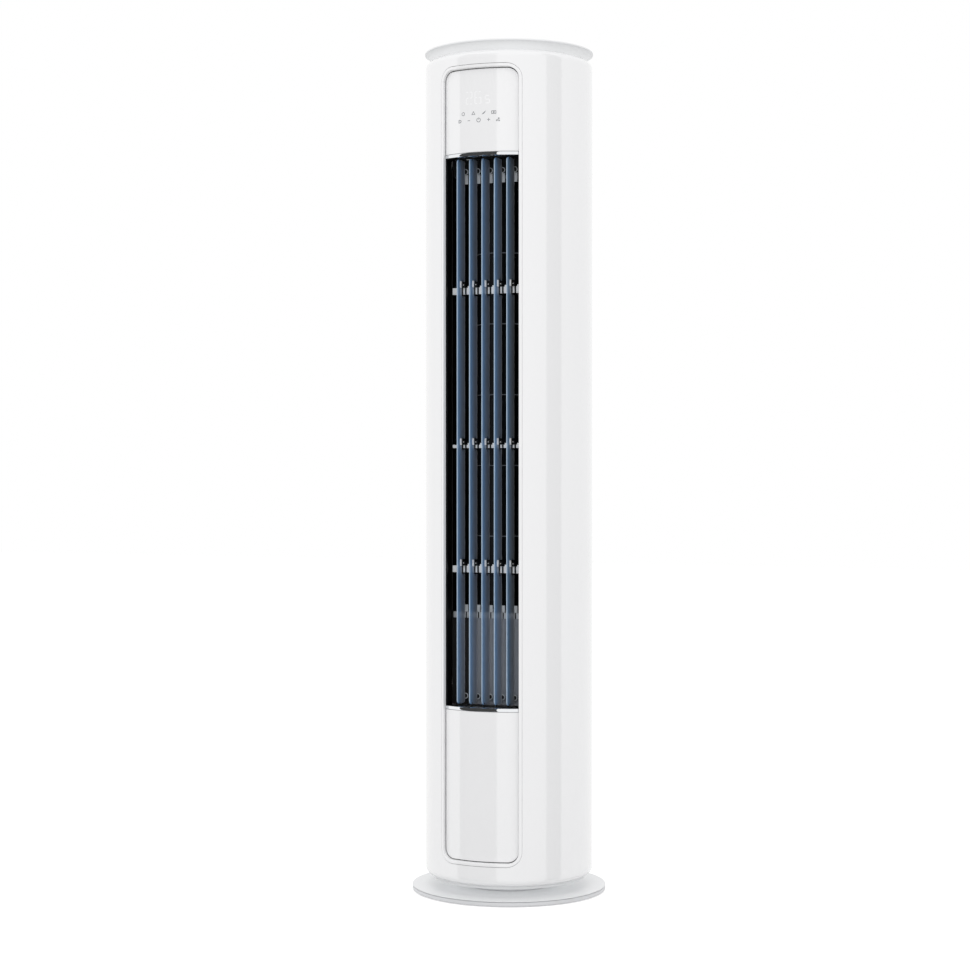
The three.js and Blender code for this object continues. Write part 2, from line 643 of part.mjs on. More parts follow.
function addWindow() {
  const farIn = 0;
  const farOut = -2 * COLUMN_RADIUS;
  const body = ring(ledgeRadius, COLUMN_RADIUS, 0, COLUMN_HEIGHT)
    .intersect(pushBack(windowOutline(GAP), farOut, farIn));
  const flange = ring(casingInner - GAP - CASING_WALL, casingInner - GAP, 0, COLUMN_HEIGHT)
    .intersect(pushBack(windowOutline(-FLANGE_WIDTH + FRAME_SLOPE, WINDOW_CORNER), farOut, farIn));
  // The recess narrows in steps from the rim down to the panels.
  const steps = 2;
  const cuts = Array.from({ length: steps }, (_, i) => {
    const reach = panelRadius + (PANEL_RECESS * i) / steps;
    const inset = FRAME_LIP + FRAME_SLOPE * (1 - i / (steps - 1));
    return ring(reach - GAP, 2 * COLUMN_RADIUS, 0, COLUMN_HEIGHT)
      .intersect(pushBack(windowOutline(inset), farOut, farIn));
  });
  const ledgeInset = FRAME_LIP + FRAME_SLOPE + LEDGE_WIDTH;
  const core = pushBack(windowOutline(ledgeInset), farOut, farIn);
  const seat = ring(panelRadius - PANEL_WALL - 2 * GAP, 2 * COLUMN_RADIUS, 0, COLUMN_HEIGHT)
    .intersect(pushBack(windowOutline(FRAME_LIP + FRAME_SLOPE), farOut, farIn));
  const ductRoom = block(-ductHalfWidth - DUCT_WALL - GAP, ductHalfWidth + DUCT_WALL + GAP,
    -panelRadius, farIn, lowerTop - GAP, controlBottom + GAP);
  const ductRing = disc(panelRadius - GAP, lowerTop - GAP, controlBottom + GAP).intersect(ductRoom);
  addPiece('window_frame', body.add(flange).subtract(join(core, seat, ductRing, cuts)), 'glossWhite');

  const skin = ring(panelRadius - PANEL_WALL, panelRadius, 0, COLUMN_HEIGHT);
  const corner = WINDOW_CORNER - FRAME_LIP - FRAME_SLOPE - GAP;
  const half = panelHalfWidth - GAP;
  const seated = panelRadius - PANEL_WALL / 2;

  const control = roundedRect(-half, controlBottom + GAP, half, panelTop - GAP, corner, 1);
  const boardBack = COLUMN_RADIUS - DISPLAY_SETBACK;
  const boardLow = panelTop - DISPLAY_DROP - DISPLAY_HEIGHT;
  const bossRises = [DISPLAY_BOSS_INSET, DISPLAY_HEIGHT - DISPLAY_BOSS_INSET];
  const controlBosses = [-1, 1].flatMap((side) => bossRises.map((rise) => (
    frontPin(side * (DISPLAY_HALF_WIDTH - DISPLAY_BOSS_INSET), boardLow + rise, PANEL_BOSS_RADIUS, -seated,
      -boardBack - GAP, 8)
  ))).map((boss) => boss.intersect(disc(seated, 0, COLUMN_HEIGHT)));
  const controlSkin = skin.intersect(pushBack(control, farOut, farIn));
  addPiece('control_panel', controlSkin.add(join(controlBosses)), 'glossWhite');
  addPiece('display_board', join(
    block(-DISPLAY_HALF_WIDTH, DISPLAY_HALF_WIDTH, -boardBack, -boardBack + BOARD_THICKNESS,
      boardLow, boardLow + DISPLAY_HEIGHT),
    block(-LAMP_HALF_WIDTH, LAMP_HALF_WIDTH, -boardBack + BOARD_THICKNESS / 2, -boardBack + LAMP_DEPTH,
      boardLow + LAMP_RISE, boardLow + LAMP_RISE + LAMP_HEIGHT),
    block(-PLUG_HALF_WIDTH, PLUG_HALF_WIDTH, -boardBack + BOARD_THICKNESS / 2, -boardBack + PLUG_DEPTH,
      boardLow + PLUG_RISE, boardLow + PLUG_RISE + PLUG_HEIGHT),
  ), 'boardGreen');

  const lower = roundedRect(-half, panelBottom + GAP, half, lowerTop - GAP, 1, corner);
  const lowerBosses = [-1, 1].flatMap((side) => LOWER_BOSS_SHARES.map((share) => (
    frontPin(side * (BOX_HALF_WIDTH - LOWER_BOSS_INSET), panelBottom + share * LOWER_PANEL_HEIGHT,
      PANEL_BOSS_RADIUS, -seated, -boxFront - BOX_WALL - 2 * GAP, 8)
  ))).map((boss) => boss.intersect(disc(seated, 0, COLUMN_HEIGHT)));
  const lowerSkin = skin.intersect(pushBack(lower, farOut, farIn));
  addPiece('lower_panel', lowerSkin.add(join(lowerBosses)), 'glossWhite');

  // Each trim fills the space between the panel's curve and the flat louvre plane.
  const segment = disc(panelRadius + GAP, 0, TRIM_HEIGHT)
    .intersect(block(-half, half, -2 * COLUMN_RADIUS, -trimBack, -1, TRIM_HEIGHT + 1));
  addPiece('outlet_trim_top', segment, 'chrome').position.z = outletTop;
  addPiece('outlet_trim_bottom', segment, 'chrome').position.z = lowerTop;
}

// ---------------------------------------------------------------------------
// Outlet duct
// ---------------------------------------------------------------------------

// Centre line of the duct's right side, from its front edge back to the fan housing.
function ductSideLine() {
  const near = ductHalfWidth + DUCT_WALL / 2;
  const onPanel = Math.sqrt(((panelRadius - 2 * GAP) * facetFlat) ** 2 - (near + DUCT_WALL / 2) ** 2);
  const frontEdge = Math.min(onPanel, stripFront);
  const flareStart = Math.sqrt(ledgeRadius ** 2 - near ** 2) - 4;
  return [
    new THREE.Vector2(near, -frontEdge),
    new THREE.Vector2(near, -flareStart),
    new THREE.Vector2(near + POCKET_DEPTH, -flareStart + 10),
    new THREE.Vector2(near + POCKET_DEPTH, -ductBack),
  ];
}

const mirrored = (points) => points.map((p) => new THREE.Vector2(-p.x, p.y));

function addDuct() {
  const line = ductSideLine();
  const side = (points) => raise(sheetOutline(points, DUCT_WALL), floorLevel + GAP, ceilingLevel - GAP);
  addPiece('duct_right_side', side(line), 'blackPlastic');
  addPiece('duct_left_side', side(mirrored(line)), 'blackPlastic');

  const edge = line.map((p) => new THREE.Vector2(p.x + DUCT_WALL / 2, p.y));
  const plan = new THREE.Shape([...edge, ...mirrored(edge).reverse()]);
  const ceilingTop = ceilingLevel + DUCT_WALL;
  const shaftHole = pin(0, -louverPivot, PIVOT_RADIUS + 2 * GAP, ceilingLevel - 1, ceilingTop + 1);
  addPiece('duct_ceiling', raise(plan, ceilingLevel, ceilingTop).subtract(shaftHole), 'blackPlastic');
  addPiece('duct_floor', raise(plan, floorLevel - DUCT_WALL, floorLevel), 'blackPlastic');

  const strip = block(-panelHalfWidth, panelHalfWidth, -stripFront, -stripFront + PIVOT_STRIP_WIDTH,
    0, PIVOT_STRIP_THICKNESS);
  const holes = louverPlaces().map((x) => (
    pin(x, -louverPivot, PIVOT_RADIUS + GAP, -1, PIVOT_STRIP_THICKNESS + 1)
  ));
  const pierced = strip.subtract(join(holes));
  addPiece('pivot_strip_top', pierced, 'blackPlastic').position.z = stripTopLevel;
  addPiece('pivot_strip_bottom', pierced, 'blackPlastic').position.z = outletBottom - PIVOT_STRIP_THICKNESS;
}

// ---------------------------------------------------------------------------
// Louvres, link bars and swing motor
// ---------------------------------------------------------------------------

function louverPlaces() {
  return Array.from({ length: LOUVER_COUNT }, (_, i) => (i - (LOUVER_COUNT - 1) / 2) * LOUVER_PITCH);
}

// One blade about its own pivot axis: a slim aerofoil with rounded ends and a slot at each link bar.
function louverBlade(topPinLevel) {
  const noseY = -PIVOT_SETBACK;
  const tailY = noseY + LOUVER_CHORD;
  const half = LOUVER_THICKNESS / 2;
  const section = new THREE.Shape();
  section.moveTo(half * 0.8, tailY);
  section.lineTo(-half * 0.8, tailY);
  section.lineTo(-half, noseY + 4 * half);
  section.quadraticCurveTo(-half, noseY, 0, noseY);
  section.quadraticCurveTo(half, noseY, half, noseY + 4 * half);

  const corner = LOUVER_CORNER;
  const profile = new THREE.Shape();
  profile.moveTo(noseY + corner, louverBottom);
  profile.lineTo(tailY - corner / 2, louverBottom);
  profile.quadraticCurveTo(tailY, louverBottom, tailY, louverBottom + corner / 2);
  profile.lineTo(tailY, louverTop - corner / 2);
  profile.quadraticCurveTo(tailY, louverTop, tailY - corner / 2, louverTop);
  profile.lineTo(noseY + corner, louverTop);
  profile.quadraticCurveTo(noseY, louverTop, noseY, louverTop - corner);
  profile.lineTo(noseY, louverBottom + corner);
  profile.quadraticCurveTo(noseY, louverBottom, noseY + corner, louverBottom);

  const blade = raise(section, louverBottom - 1, louverTop + 1, 2)
    .intersect(pushAcross(profile, -LOUVER_THICKNESS, LOUVER_THICKNESS, 2));
  const slotEnds = linkLevels.map((level, i) => [
    level - LINK_BAR_HEIGHTS[i] / 2 - LINK_SLOT_BELOW,
    level + LINK_BAR_HEIGHTS[i] / 2 + LINK_SLOT_ABOVE,
  ]);
  const slots = slotEnds.map(([low, high]) => (
    block(-LOUVER_THICKNESS, LOUVER_THICKNESS, LINK_ARM - LINK_SLOT_AHEAD, tailY + 1, low, high)
  ));
  const linkPins = slotEnds.map(([low, high]) => (
    pin(0, LINK_ARM, LINK_PIN_RADIUS, low - LINK_PIN_SEAT, high + LINK_PIN_SEAT, 8)
  ));
  const pivots = [
    pin(0, 0, PIVOT_RADIUS, outletBottom - PIVOT_STRIP_THICKNESS + GAP, louverBottom + 4, 8),
    pin(0, 0, PIVOT_RADIUS, louverTop - 4, topPinLevel, 8),
  ];
  return blade.subtract(join(slots)).add(join(linkPins, pivots));
}

// A flat bar with one open eye for each louvre's link pin, centred on its own level.
function linkBar(height) {
  const low = -height / 2;
  const high = height / 2;
  const bar = block(-LINK_BAR_HALF_LENGTH, LINK_BAR_HALF_LENGTH, -LINK_BAR_THICKNESS / 2,
    LINK_BAR_THICKNESS / 2, low, high);
  const bore = LINK_PIN_RADIUS + GAP;
  const eyes = louverPlaces().map((x) => pin(x, 0, bore + LINK_EYE_WALL, low, high, 6));
  const bores = louverPlaces().map((x) => pin(x, 0, bore, low - 1, high + 1, 6));
  return bar.add(join(eyes)).subtract(join(bores));
}

function addLouvers() {
  const stripTop = stripTopLevel + PIVOT_STRIP_THICKNESS - GAP;
  const couplerBottom = ceilingLevel + DUCT_WALL + GAP;
  const shaftTop = couplerBottom + COUPLER_HEIGHT * 0.6;
  const plain = louverBlade(stripTop);
  const driven = louverBlade(shaftTop);
  louverPlaces().forEach((x, i) => {
    const blade = i === (LOUVER_COUNT - 1) / 2 ? driven : plain;
    addPiece(`louver_${i + 1}`, blade, 'smokyBlue').position.set(x, -louverPivot, 0);
  });
  linkLevels.forEach((level, i) => {
    addPiece(`link_bar_${i + 1}`, linkBar(LINK_BAR_HEIGHTS[i]), 'lightGrey')
      .position.set(0, -linkPinDepth, level);
  });

  // The motor stands on two legs over the coupler that turns the middle louvre.
  const couplerTop = couplerBottom + COUPLER_HEIGHT;
  const socket = disc(PIVOT_RADIUS + GAP, couplerBottom - 1, shaftTop + GAP, 12);
  const shaftBore = disc(PIVOT_RADIUS + GAP, couplerTop - COUPLER_HEIGHT * 0.3, couplerTop + 1, 12);
  addPiece('swing_coupler', disc(COUPLER_RADIUS, couplerBottom, couplerTop, SMALL_FACETS)
    .subtract(socket).subtract(shaftBore), 'lightGrey').position.y = -louverPivot;
  const motorBase = couplerTop + GAP;
  const earReach = SWING_MOTOR_RADIUS + 7;
  const motor = join(
    disc(SWING_MOTOR_RADIUS, motorBase, motorBase + SWING_MOTOR_HEIGHT, 24),
    disc(PIVOT_RADIUS, couplerTop - COUPLER_HEIGHT * 0.3 + GAP, motorBase + 1, 12),
    block(-earReach, earReach, -3.5, 3.5, motorBase, motorBase + 2.5),
    [-1, 1].map((side) => pin(side * (earReach - 3.5), 0, 3, couplerBottom, motorBase + 1, 8)),
    block(-6, 6, SWING_MOTOR_RADIUS - 3, SWING_MOTOR_RADIUS + 5, motorBase + 4, motorBase + 14),
  );
  addPiece('swing_motor', motor, 'steel').position.y = -louverPivot;
}

// ---------------------------------------------------------------------------
// Cross-flow fan, shaft, bearing and motor
// ---------------------------------------------------------------------------

function fanWheel() {
  const outer = FAN_RADIUS;
  const inner = outer - FAN_BLADE_DEPTH;
  // One blade: a crescent whose inner edge lags behind its outer edge.
  const bow = FAN_BLADE_DEPTH * 0.24;
  const outerTip = polar(outer - 0.6, 0);
  const innerTip = polar(inner, FAN_BLADE_SWEEP);
  const middle = outerTip.clone().add(innerTip).multiplyScalar(0.5);
  const across = new THREE.Vector2(outerTip.y - innerTip.y, innerTip.x - outerTip.x).normalize();
  const bulge = (reach) => middle.clone().addScaledVector(across, reach);
  const crescent = new THREE.Shape([
    outerTip,
    bulge(bow + FAN_BLADE_THICKNESS / 2),
    innerTip,
    bulge(bow - FAN_BLADE_THICKNESS / 2),
  ]);
  const blade = raise(crescent, fanBottom + 0.5, fanTop - 0.5);
  const blades = Array.from({ length: FAN_BLADE_COUNT }, (_, i) => (
    blade.rotate([0, 0, (360 / FAN_BLADE_COUNT) * i])
  ));
  const rings = Array.from({ length: FAN_SEGMENTS - 1 }, (_, i) => {
    const level = fanBottom + fanSegmentHeight * (i + 1);
    return ring(inner - 1, outer, level - FAN_RING_THICKNESS / 2, level + FAN_RING_THICKNESS / 2,
      2 * FAN_BLADE_COUNT);
  });
  const bore = SHAFT_RADIUS + GAP;
  const endDisc = (level, hubLevel) => join(
    ring(bore, outer, level, level + FAN_RING_THICKNESS, 2 * FAN_BLADE_COUNT),
    ring(bore, HUB_RADIUS, hubLevel, hubLevel + HUB_HEIGHT, SMALL_FACETS),
  );
  return join(
    endDisc(fanBottom, fanBottom),
    endDisc(fanTop - FAN_RING_THICKNESS, fanTop - HUB_HEIGHT),
    rings,
    blades,
  );
}

function addFan() {
  const fan = new THREE.Group();
  fan.position.y = -fanSetback;
  airConditioner.add(fan);
  addPiece('fan_wheel', fanWheel(), 'fanPlastic', fan);

  const motorTop = motorBottom + MOTOR_HEIGHT;
  const shaftBottom = motorTop - 24;
  const bearingBottom = fanTop + 8;
  const bearingTop = upperDeckLevel - GAP - 4;
  addPiece('fan_shaft', disc(SHAFT_RADIUS, shaftBottom, bearingTop - 2, SMALL_FACETS), 'steel', fan);

  const motor = revolve([
    [0, motorBottom],
    [MOTOR_RADIUS - 8, motorBottom],
    [MOTOR_RADIUS - 8, motorBottom + 6],
    [MOTOR_RADIUS, motorBottom + 12],
    [MOTOR_RADIUS, motorTop - 12],
    [MOTOR_RADIUS - 4, motorTop - 4],
    [18, motorTop - 4],
    [14, motorTop],
    [0, motorTop],
  ], 20);
  const feet = [45, 135, 225, 315].map((angle) => {
    const p = polar(MOTOR_RADIUS - 2, angle);
    return pin(p.x, p.y, 5, motorBottom, motorBottom + 14, 6);
  });
  const shaftBore = disc(SHAFT_RADIUS + GAP, shaftBottom - GAP, motorTop + 1, 2 * SMALL_FACETS);
  addPiece('fan_motor', motor.add(join(feet)).subtract(shaftBore), 'steel', fan);

  addPiece('top_bearing', revolve([
    [SHAFT_RADIUS + GAP, bearingBottom],
    [HUB_RADIUS - 3, bearingBottom],
    [HUB_RADIUS, bearingBottom + 4],
    [HUB_RADIUS, bearingTop],
    [SHAFT_RADIUS + GAP, bearingTop],
  ], 16), 'rubber', fan);
}

// ---------------------------------------------------------------------------
// Fan housing: decks, motor cover, bearing bracket, volute and tongue
// ---------------------------------------------------------------------------

function addHousing() {
  const pipes = pipeRoutes();
  const dropHole = (route, radius) => pin(route.drop.x, route.drop.y, radius + 3, midDeckLevel - 1,
    midDeckTop + 1);
  const spigotAt = panSpigot();
  const spigotHole = pin(spigotAt.x, spigotAt.y, SPIGOT_RADIUS + 1, midDeckLevel - 1, midDeckTop + 1);
  const midDeck = behind(disc(deckRadius, midDeckLevel, midDeckTop), deckFront)
    .subtract(join(dropHole(pipes.gas, GAS_PIPE_RADIUS), dropHole(pipes.liquid, LIQUID_PIPE_RADIUS)))
    .subtract(spigotHole);
  addPiece('mid_deck', midDeck, 'galvanised');

  // The bearing sits in a socket under the upper deck.
  const socket = ring(HUB_RADIUS + GAP, HUB_RADIUS + GAP + 4, fanTop + 12, upperDeckLevel + 1, 16)
    .translate([0, -fanSetback, 0]);
  const upperDeck = behind(disc(deckRadius, upperDeckLevel, upperDeckLevel + DECK_THICKNESS), deckFront);
  addPiece('upper_deck', upperDeck.add(socket), 'galvanised');

  const wallBack = -housingFront + MOTOR_COVER_WALL;
  const bossRow = (level) => louverPlaces().map((x) => (
    frontPin(x, level, BOSS_RADIUS, -housingFront - BOSS_REACH, wallBack, 8)
  ));
  const bossHoles = (level) => louverPlaces().map((x) => (
    frontPin(x, level, BOSS_HOLE_RADIUS, -housingFront - BOSS_REACH - 1, -housingFront, 6)
  ));
  const tabRow = (bottom, top) => louverPlaces().map((x) => (
    block(x - TAB_WIDTH / 2, x + TAB_WIDTH / 2, -housingFront, wallBack, bottom, top)
  ));

  // The motor cover: a front wall across the duct and a tapered hood over the motor.
  const hoodOutline = (inset) => {
    const radius = MOTOR_COVER_RADIUS - inset;
    const half = COVER_BODY_HALF_WIDTH - inset;
    const frontY = -housingFront + inset;
    const shape = new THREE.Shape();
    shape.moveTo(-half, frontY);
    shape.lineTo(half, frontY);
    shape.lineTo(radius, -fanSetback);
    shape.absarc(0, -fanSetback, radius, 0, Math.PI);
    shape.lineTo(-half, frontY);
    return shape;
  };
  const hood = raise(hoodOutline(0), midDeckTop + GAP, motorCoverTop, 8)
    .subtract(raise(hoodOutline(MOTOR_COVER_WALL), 0, motorCoverTop - MOTOR_COVER_WALL, 8))
    .subtract(pin(0, -fanSetback, HUB_RADIUS + 2, motorCoverTop - 10, motorCoverTop + 1));
  const apron = block(-COVER_HALF_WIDTH, COVER_HALF_WIDTH, -housingFront, wallBack, outletBottom,
    motorCoverTop);
  addPiece('motor_cover', hood
    .add(join(apron, bossRow(coverBossLevel), tabRow(motorCoverTop - 1, motorCoverTop + TAB_HEIGHT)))
    .subtract(join(bossHoles(coverBossLevel))), 'greyPlastic');

  // The bracket closes the duct above the fan, with tabs hanging behind the louvres.
  const bracket = block(-COVER_HALF_WIDTH, COVER_HALF_WIDTH, -housingFront, wallBack, bracketBottom,
    ceilingLevel - GAP);
  addPiece('bearing_bracket', bracket
    .add(join(bossRow(bracketBossLevel), tabRow(bracketBottom - TAB_HEIGHT, bracketBottom + 1)))
    .subtract(join(bossHoles(bracketBossLevel))), 'blackPlastic');

  // Both walls stand between the decks, from the duct's sides round to the heat exchanger.
  const sideEnd = ductSideLine()[3];
  const start = new THREE.Vector2(sideEnd.x, -housingFront + DUCT_WALL);
  const reach = coilInnerRadius - 8;
  const standing = (points) => raise(sheetOutline(points, DUCT_WALL), midDeckTop + GAP, upperDeckLevel - GAP);

  const lead = -start.y - fanSetback;
  const startAngle = THREE.MathUtils.radToDeg(Math.atan2(start.x, lead));
  const startRadius = Math.hypot(start.x, lead);
  const endRadius = FAN_RADIUS + VOLUTE_CLEARANCE;
  const turns = 14;
  const spiral = Array.from({ length: turns + 1 }, (_, i) => {
    const share = i / turns;
    const angle = startAngle + (VOLUTE_END_ANGLE - startAngle) * share;
    return polar(startRadius * (endRadius / startRadius) ** share, -angle, fanSetback);
  });
  const volute = standing(spiral).add(standing([spiral[turns], polar(reach, COIL_END_ANGLE)]));
  addPiece('volute_wall', volute, 'blackPlastic');

  const tip = polar(FAN_RADIUS + TONGUE_CLEARANCE, TONGUE_ANGLE, fanSetback);
  const tongue = standing([start, tip]).add(standing([tip, polar(reach, COIL_START_ANGLE)]));
  addPiece('tongue_wall', tongue, 'blackPlastic');
}

// ---------------------------------------------------------------------------
// Uprights
// ---------------------------------------------------------------------------

function addUprights() {
  const outline = (side) => {
    const inner = side * uprightInner;
    const outer = side * (uprightInner + UPRIGHT_DEPTH);
    const half = (UPRIGHT_WIDTH - UPRIGHT_WALL) / 2;
    const web = inner + (side * UPRIGHT_WALL) / 2;
    return sheetOutline([
      new THREE.Vector2(outer, -half),
      new THREE.Vector2(web, -half),
      new THREE.Vector2(web, half),
      new THREE.Vector2(outer, half),
    ], UPRIGHT_WALL);
  };
  const stand = (side) => raise(outline(side), chassisFloor + GAP, topFrameLevel - GAP);
  const rim = ring(COLUMN_RADIUS - FOOT_FILLET - DECK_THICKNESS - 1 - GAP, 2 * COLUMN_RADIUS, 0,
    chassisBottom + CHASSIS_HEIGHT + GAP);
  addPiece('right_upright', stand(1).subtract(rim), 'galvanised');
  addPiece('left_upright', stand(-1).subtract(rim), 'galvanised');
}

// ---------------------------------------------------------------------------
// Heat exchanger, drain pan and refrigerant pipes
// ---------------------------------------------------------------------------

function panSpigot() {
  return polar((coilInnerRadius + coilOuterRadius) / 2, COIL_END_ANGLE + PAN_MARGIN / 2 - 2);
}

function addHeatExchanger() {
  const inner = coilInnerRadius;
  const outer = coilOuterRadius;
  // The outer face is grooved between groups of fins.
  const grooves = [];
  const lastGroove = coilTop - FIN_GROOVE_PITCH / 2;
  for (let level = coilBottom + FIN_GROOVE_PITCH; level < lastGroove; level += FIN_GROOVE_PITCH) {
    grooves.push(ring(outer - FIN_GROOVE_DEPTH, outer + 1, level, level + FIN_GROOVE_HEIGHT));
  }
  const fins = ring(inner, outer, coilBottom, coilTop).subtract(join(grooves));
  addPiece('evaporator_fins', sector(fins, COIL_START_ANGLE, COIL_END_ANGLE), 'aluminium');

  // Return bends join the two rows of tubes over the top end plate.
  const plateBottom = coilTop + GAP;
  const plateTop = plateBottom + END_PLATE_THICKNESS;
  const plate = sector(ring(inner - END_PLATE_RIM, outer + END_PLATE_RIM, plateBottom, plateTop),
    COIL_START_ANGLE, COIL_END_ANGLE);
  const rowGap = COIL_DEPTH / 2;
  const bendPath = new THREE.CurvePath();
  const span = new THREE.EllipseCurve(0, 0, rowGap / 2, rowGap / 2, 0, Math.PI);
  const arch = span.getPoints(6).map((p) => new THREE.Vector3(p.x, 0, plateTop + BEND_RISE + p.y));
  const foot = new THREE.Vector3(0, 0, -END_PLATE_THICKNESS - BEND_RISE);
  bendPath.points = [arch[0].clone().add(foot), ...arch, arch.at(-1).clone().add(foot)];
  const route = new THREE.CatmullRomCurve3(bendPath.points, false, 'centripetal');
  const section = new THREE.Shape().absarc(0, 0, BEND_TUBE_RADIUS, 0, Math.PI * 2);
  const options = { steps: 5, extrudePath: route, curveSegments: 3 };
  const bend = toSolid(new THREE.ExtrudeGeometry(section, options));
  const bends = Array.from({ length: BEND_COUNT }, (_, i) => {
    const angle = COIL_START_ANGLE + ((COIL_END_ANGLE - COIL_START_ANGLE) * (i + 0.5)) / BEND_COUNT;
    return bend.translate([(inner + outer) / 2, 0, 0]).rotate([0, 0, angle - 90]);
  });
  addPiece('evaporator_end_plate', plate.add(join(bends)), 'copper');

  const panInner = inner - PAN_COIL_GAP - PAN_WALL;
  const panOuter = deckRadius - GAP;
  const panBottom = midDeckTop + GAP;
  const trough = ring(panInner + PAN_WALL, panOuter - PAN_WALL, panBottom + PAN_WALL,
    panBottom + PAN_HEIGHT + 1);
  const wallTurn = THREE.MathUtils.radToDeg(PAN_WALL / inner);
  const from = COIL_START_ANGLE - PAN_MARGIN + 1;
  const to = COIL_END_ANGLE + PAN_MARGIN;
  const spigotAt = panSpigot();
  const spigotEnd = panBottom - SPIGOT_LENGTH;
  const spigotBore = SPIGOT_RADIUS - SPIGOT_WALL;
  const spigot = ring(spigotBore, SPIGOT_RADIUS, spigotEnd, panBottom + PAN_WALL, SMALL_FACETS)
    .translate([spigotAt.x, spigotAt.y, 0]);
  const drain = pin(spigotAt.x, spigotAt.y, spigotBore, spigotEnd - 1, panBottom + PAN_WALL + 1);
  const pan = sector(ring(panInner, panOuter, panBottom, panBottom + PAN_HEIGHT), from, to)
    .subtract(sector(trough, from + wallTurn, to - wallTurn))
    .add(spigot)
    .subtract(drain);
  addPiece('drain_pan', pan, 'satinWhite');
}

// Both pipes leave the end of the coil, drop through the mid deck and turn back to the port.
function pipeRoutes() {
  const make = (dropRadius, dropAngle, coilLevel, portX, sweep) => {
    const drop = polar(dropRadius, dropAngle);
    const coilMiddle = coilInnerRadius + COIL_DEPTH / 2;
    const leave = polar(coilMiddle, COIL_START_ANGLE + 2);
    const portY = casingInner - PIPE_END_INSET;
    return {
      drop,
      end: new THREE.Vector3(portX, portY, PIPE_PORT_LEVEL),
      points: [
        new THREE.Vector3(leave.x, leave.y, coilLevel),
        new THREE.Vector3(drop.x + PIPE_LEAN, drop.y + PIPE_BEND_LEAD, coilLevel),
        new THREE.Vector3(drop.x, drop.y, coilLevel - PIPE_BEND_DROP),
        new THREE.Vector3(drop.x, drop.y, midDeckTop),
        new THREE.Vector3(drop.x, drop.y, PIPE_PORT_LEVEL + 3 * PIPE_BEND_DROP),
        new THREE.Vector3(drop.x - PIPE_LEAN, drop.y + PIPE_TURN_REACH, PIPE_PORT_LEVEL + PIPE_BEND_DROP),
        new THREE.Vector3(drop.x - PIPE_TURN_INSET, PIPE_TURN_REACH, PIPE_PORT_LEVEL),
        new THREE.Vector3((drop.x + portX) / 2, portY - sweep, PIPE_PORT_LEVEL),
        new THREE.Vector3(portX, portY - PIPE_END_LENGTH - PIPE_BEND_LEAD, PIPE_PORT_LEVEL),
        new THREE.Vector3(portX, portY - PIPE_END_LENGTH, PIPE_PORT_LEVEL),
      ],
    };
  };
  const half = PIPE_PORT_SPACING / 2;
  const corner = ductSideLine().at(-1);
  const radius = corner.length();
  const angle = THREE.MathUtils.radToDeg(Math.atan2(corner.x, -corner.y));
  return {
    gas: make(radius, angle + GAS_PIPE_TURN, coilBottom + GAS_PIPE_RISE, half, GAS_PIPE_SWEEP),
    liquid: make(radius - LIQUID_PIPE_INSET, angle + LIQUID_PIPE_TURN, coilBottom + LIQUID_PIPE_RISE, -half,
      LIQUID_PIPE_SWEEP),
  };
}

function addPipes() {
  const routes = pipeRoutes();
  // Both pipes end square, a clearance away from the end face of the coil.
  const gapTurn = THREE.MathUtils.radToDeg(GAP / coilInnerRadius);
  const coilEnd = sector(disc(COLUMN_RADIUS, coilBottom, coilTop),
    COIL_START_ANGLE - gapTurn, COIL_END_ANGLE);
  const addPipe = (name, route, radius) => {
    const path = new THREE.CatmullRomCurve3(route.points, false, 'centripetal');
    const section = new THREE.Shape().absarc(0, 0, radius, 0, Math.PI * 2);
    const options = { steps: 24, extrudePath: path, curveSegments: 3 };
    const straight = disc(radius, -1, PIPE_END_LENGTH, 6).rotate([-90, 0, 0])
      .translate([route.end.x, route.end.y - PIPE_END_LENGTH, route.end.z]);
    const bent = toSolid(new THREE.ExtrudeGeometry(section, options));
    addPiece(`${name}_pipe`, bent.subtract(coilEnd).add(straight), 'copper');
    const nut = revolve([
      [radius + GAP, 0],
      [radius + NUT_WALL, 0],
      [radius + NUT_WALL, NUT_FLAT],
      [radius + NUT_LIP, NUT_LENGTH],
      [radius + GAP, NUT_LENGTH],
    ], 6).rotate([-90, 0, 0]);
    addPiece(`${name}_nut`, nut, 'brass').position.set(route.end.x, route.end.y - NUT_FLAT, route.end.z);
  };
  addPipe('gas', routes.gas, GAS_PIPE_RADIUS);
  addPipe('liquid', routes.liquid, LIQUID_PIPE_RADIUS);
}

// ---------------------------------------------------------------------------
// Rear intake grille, filter and cord gland
// ---------------------------------------------------------------------------

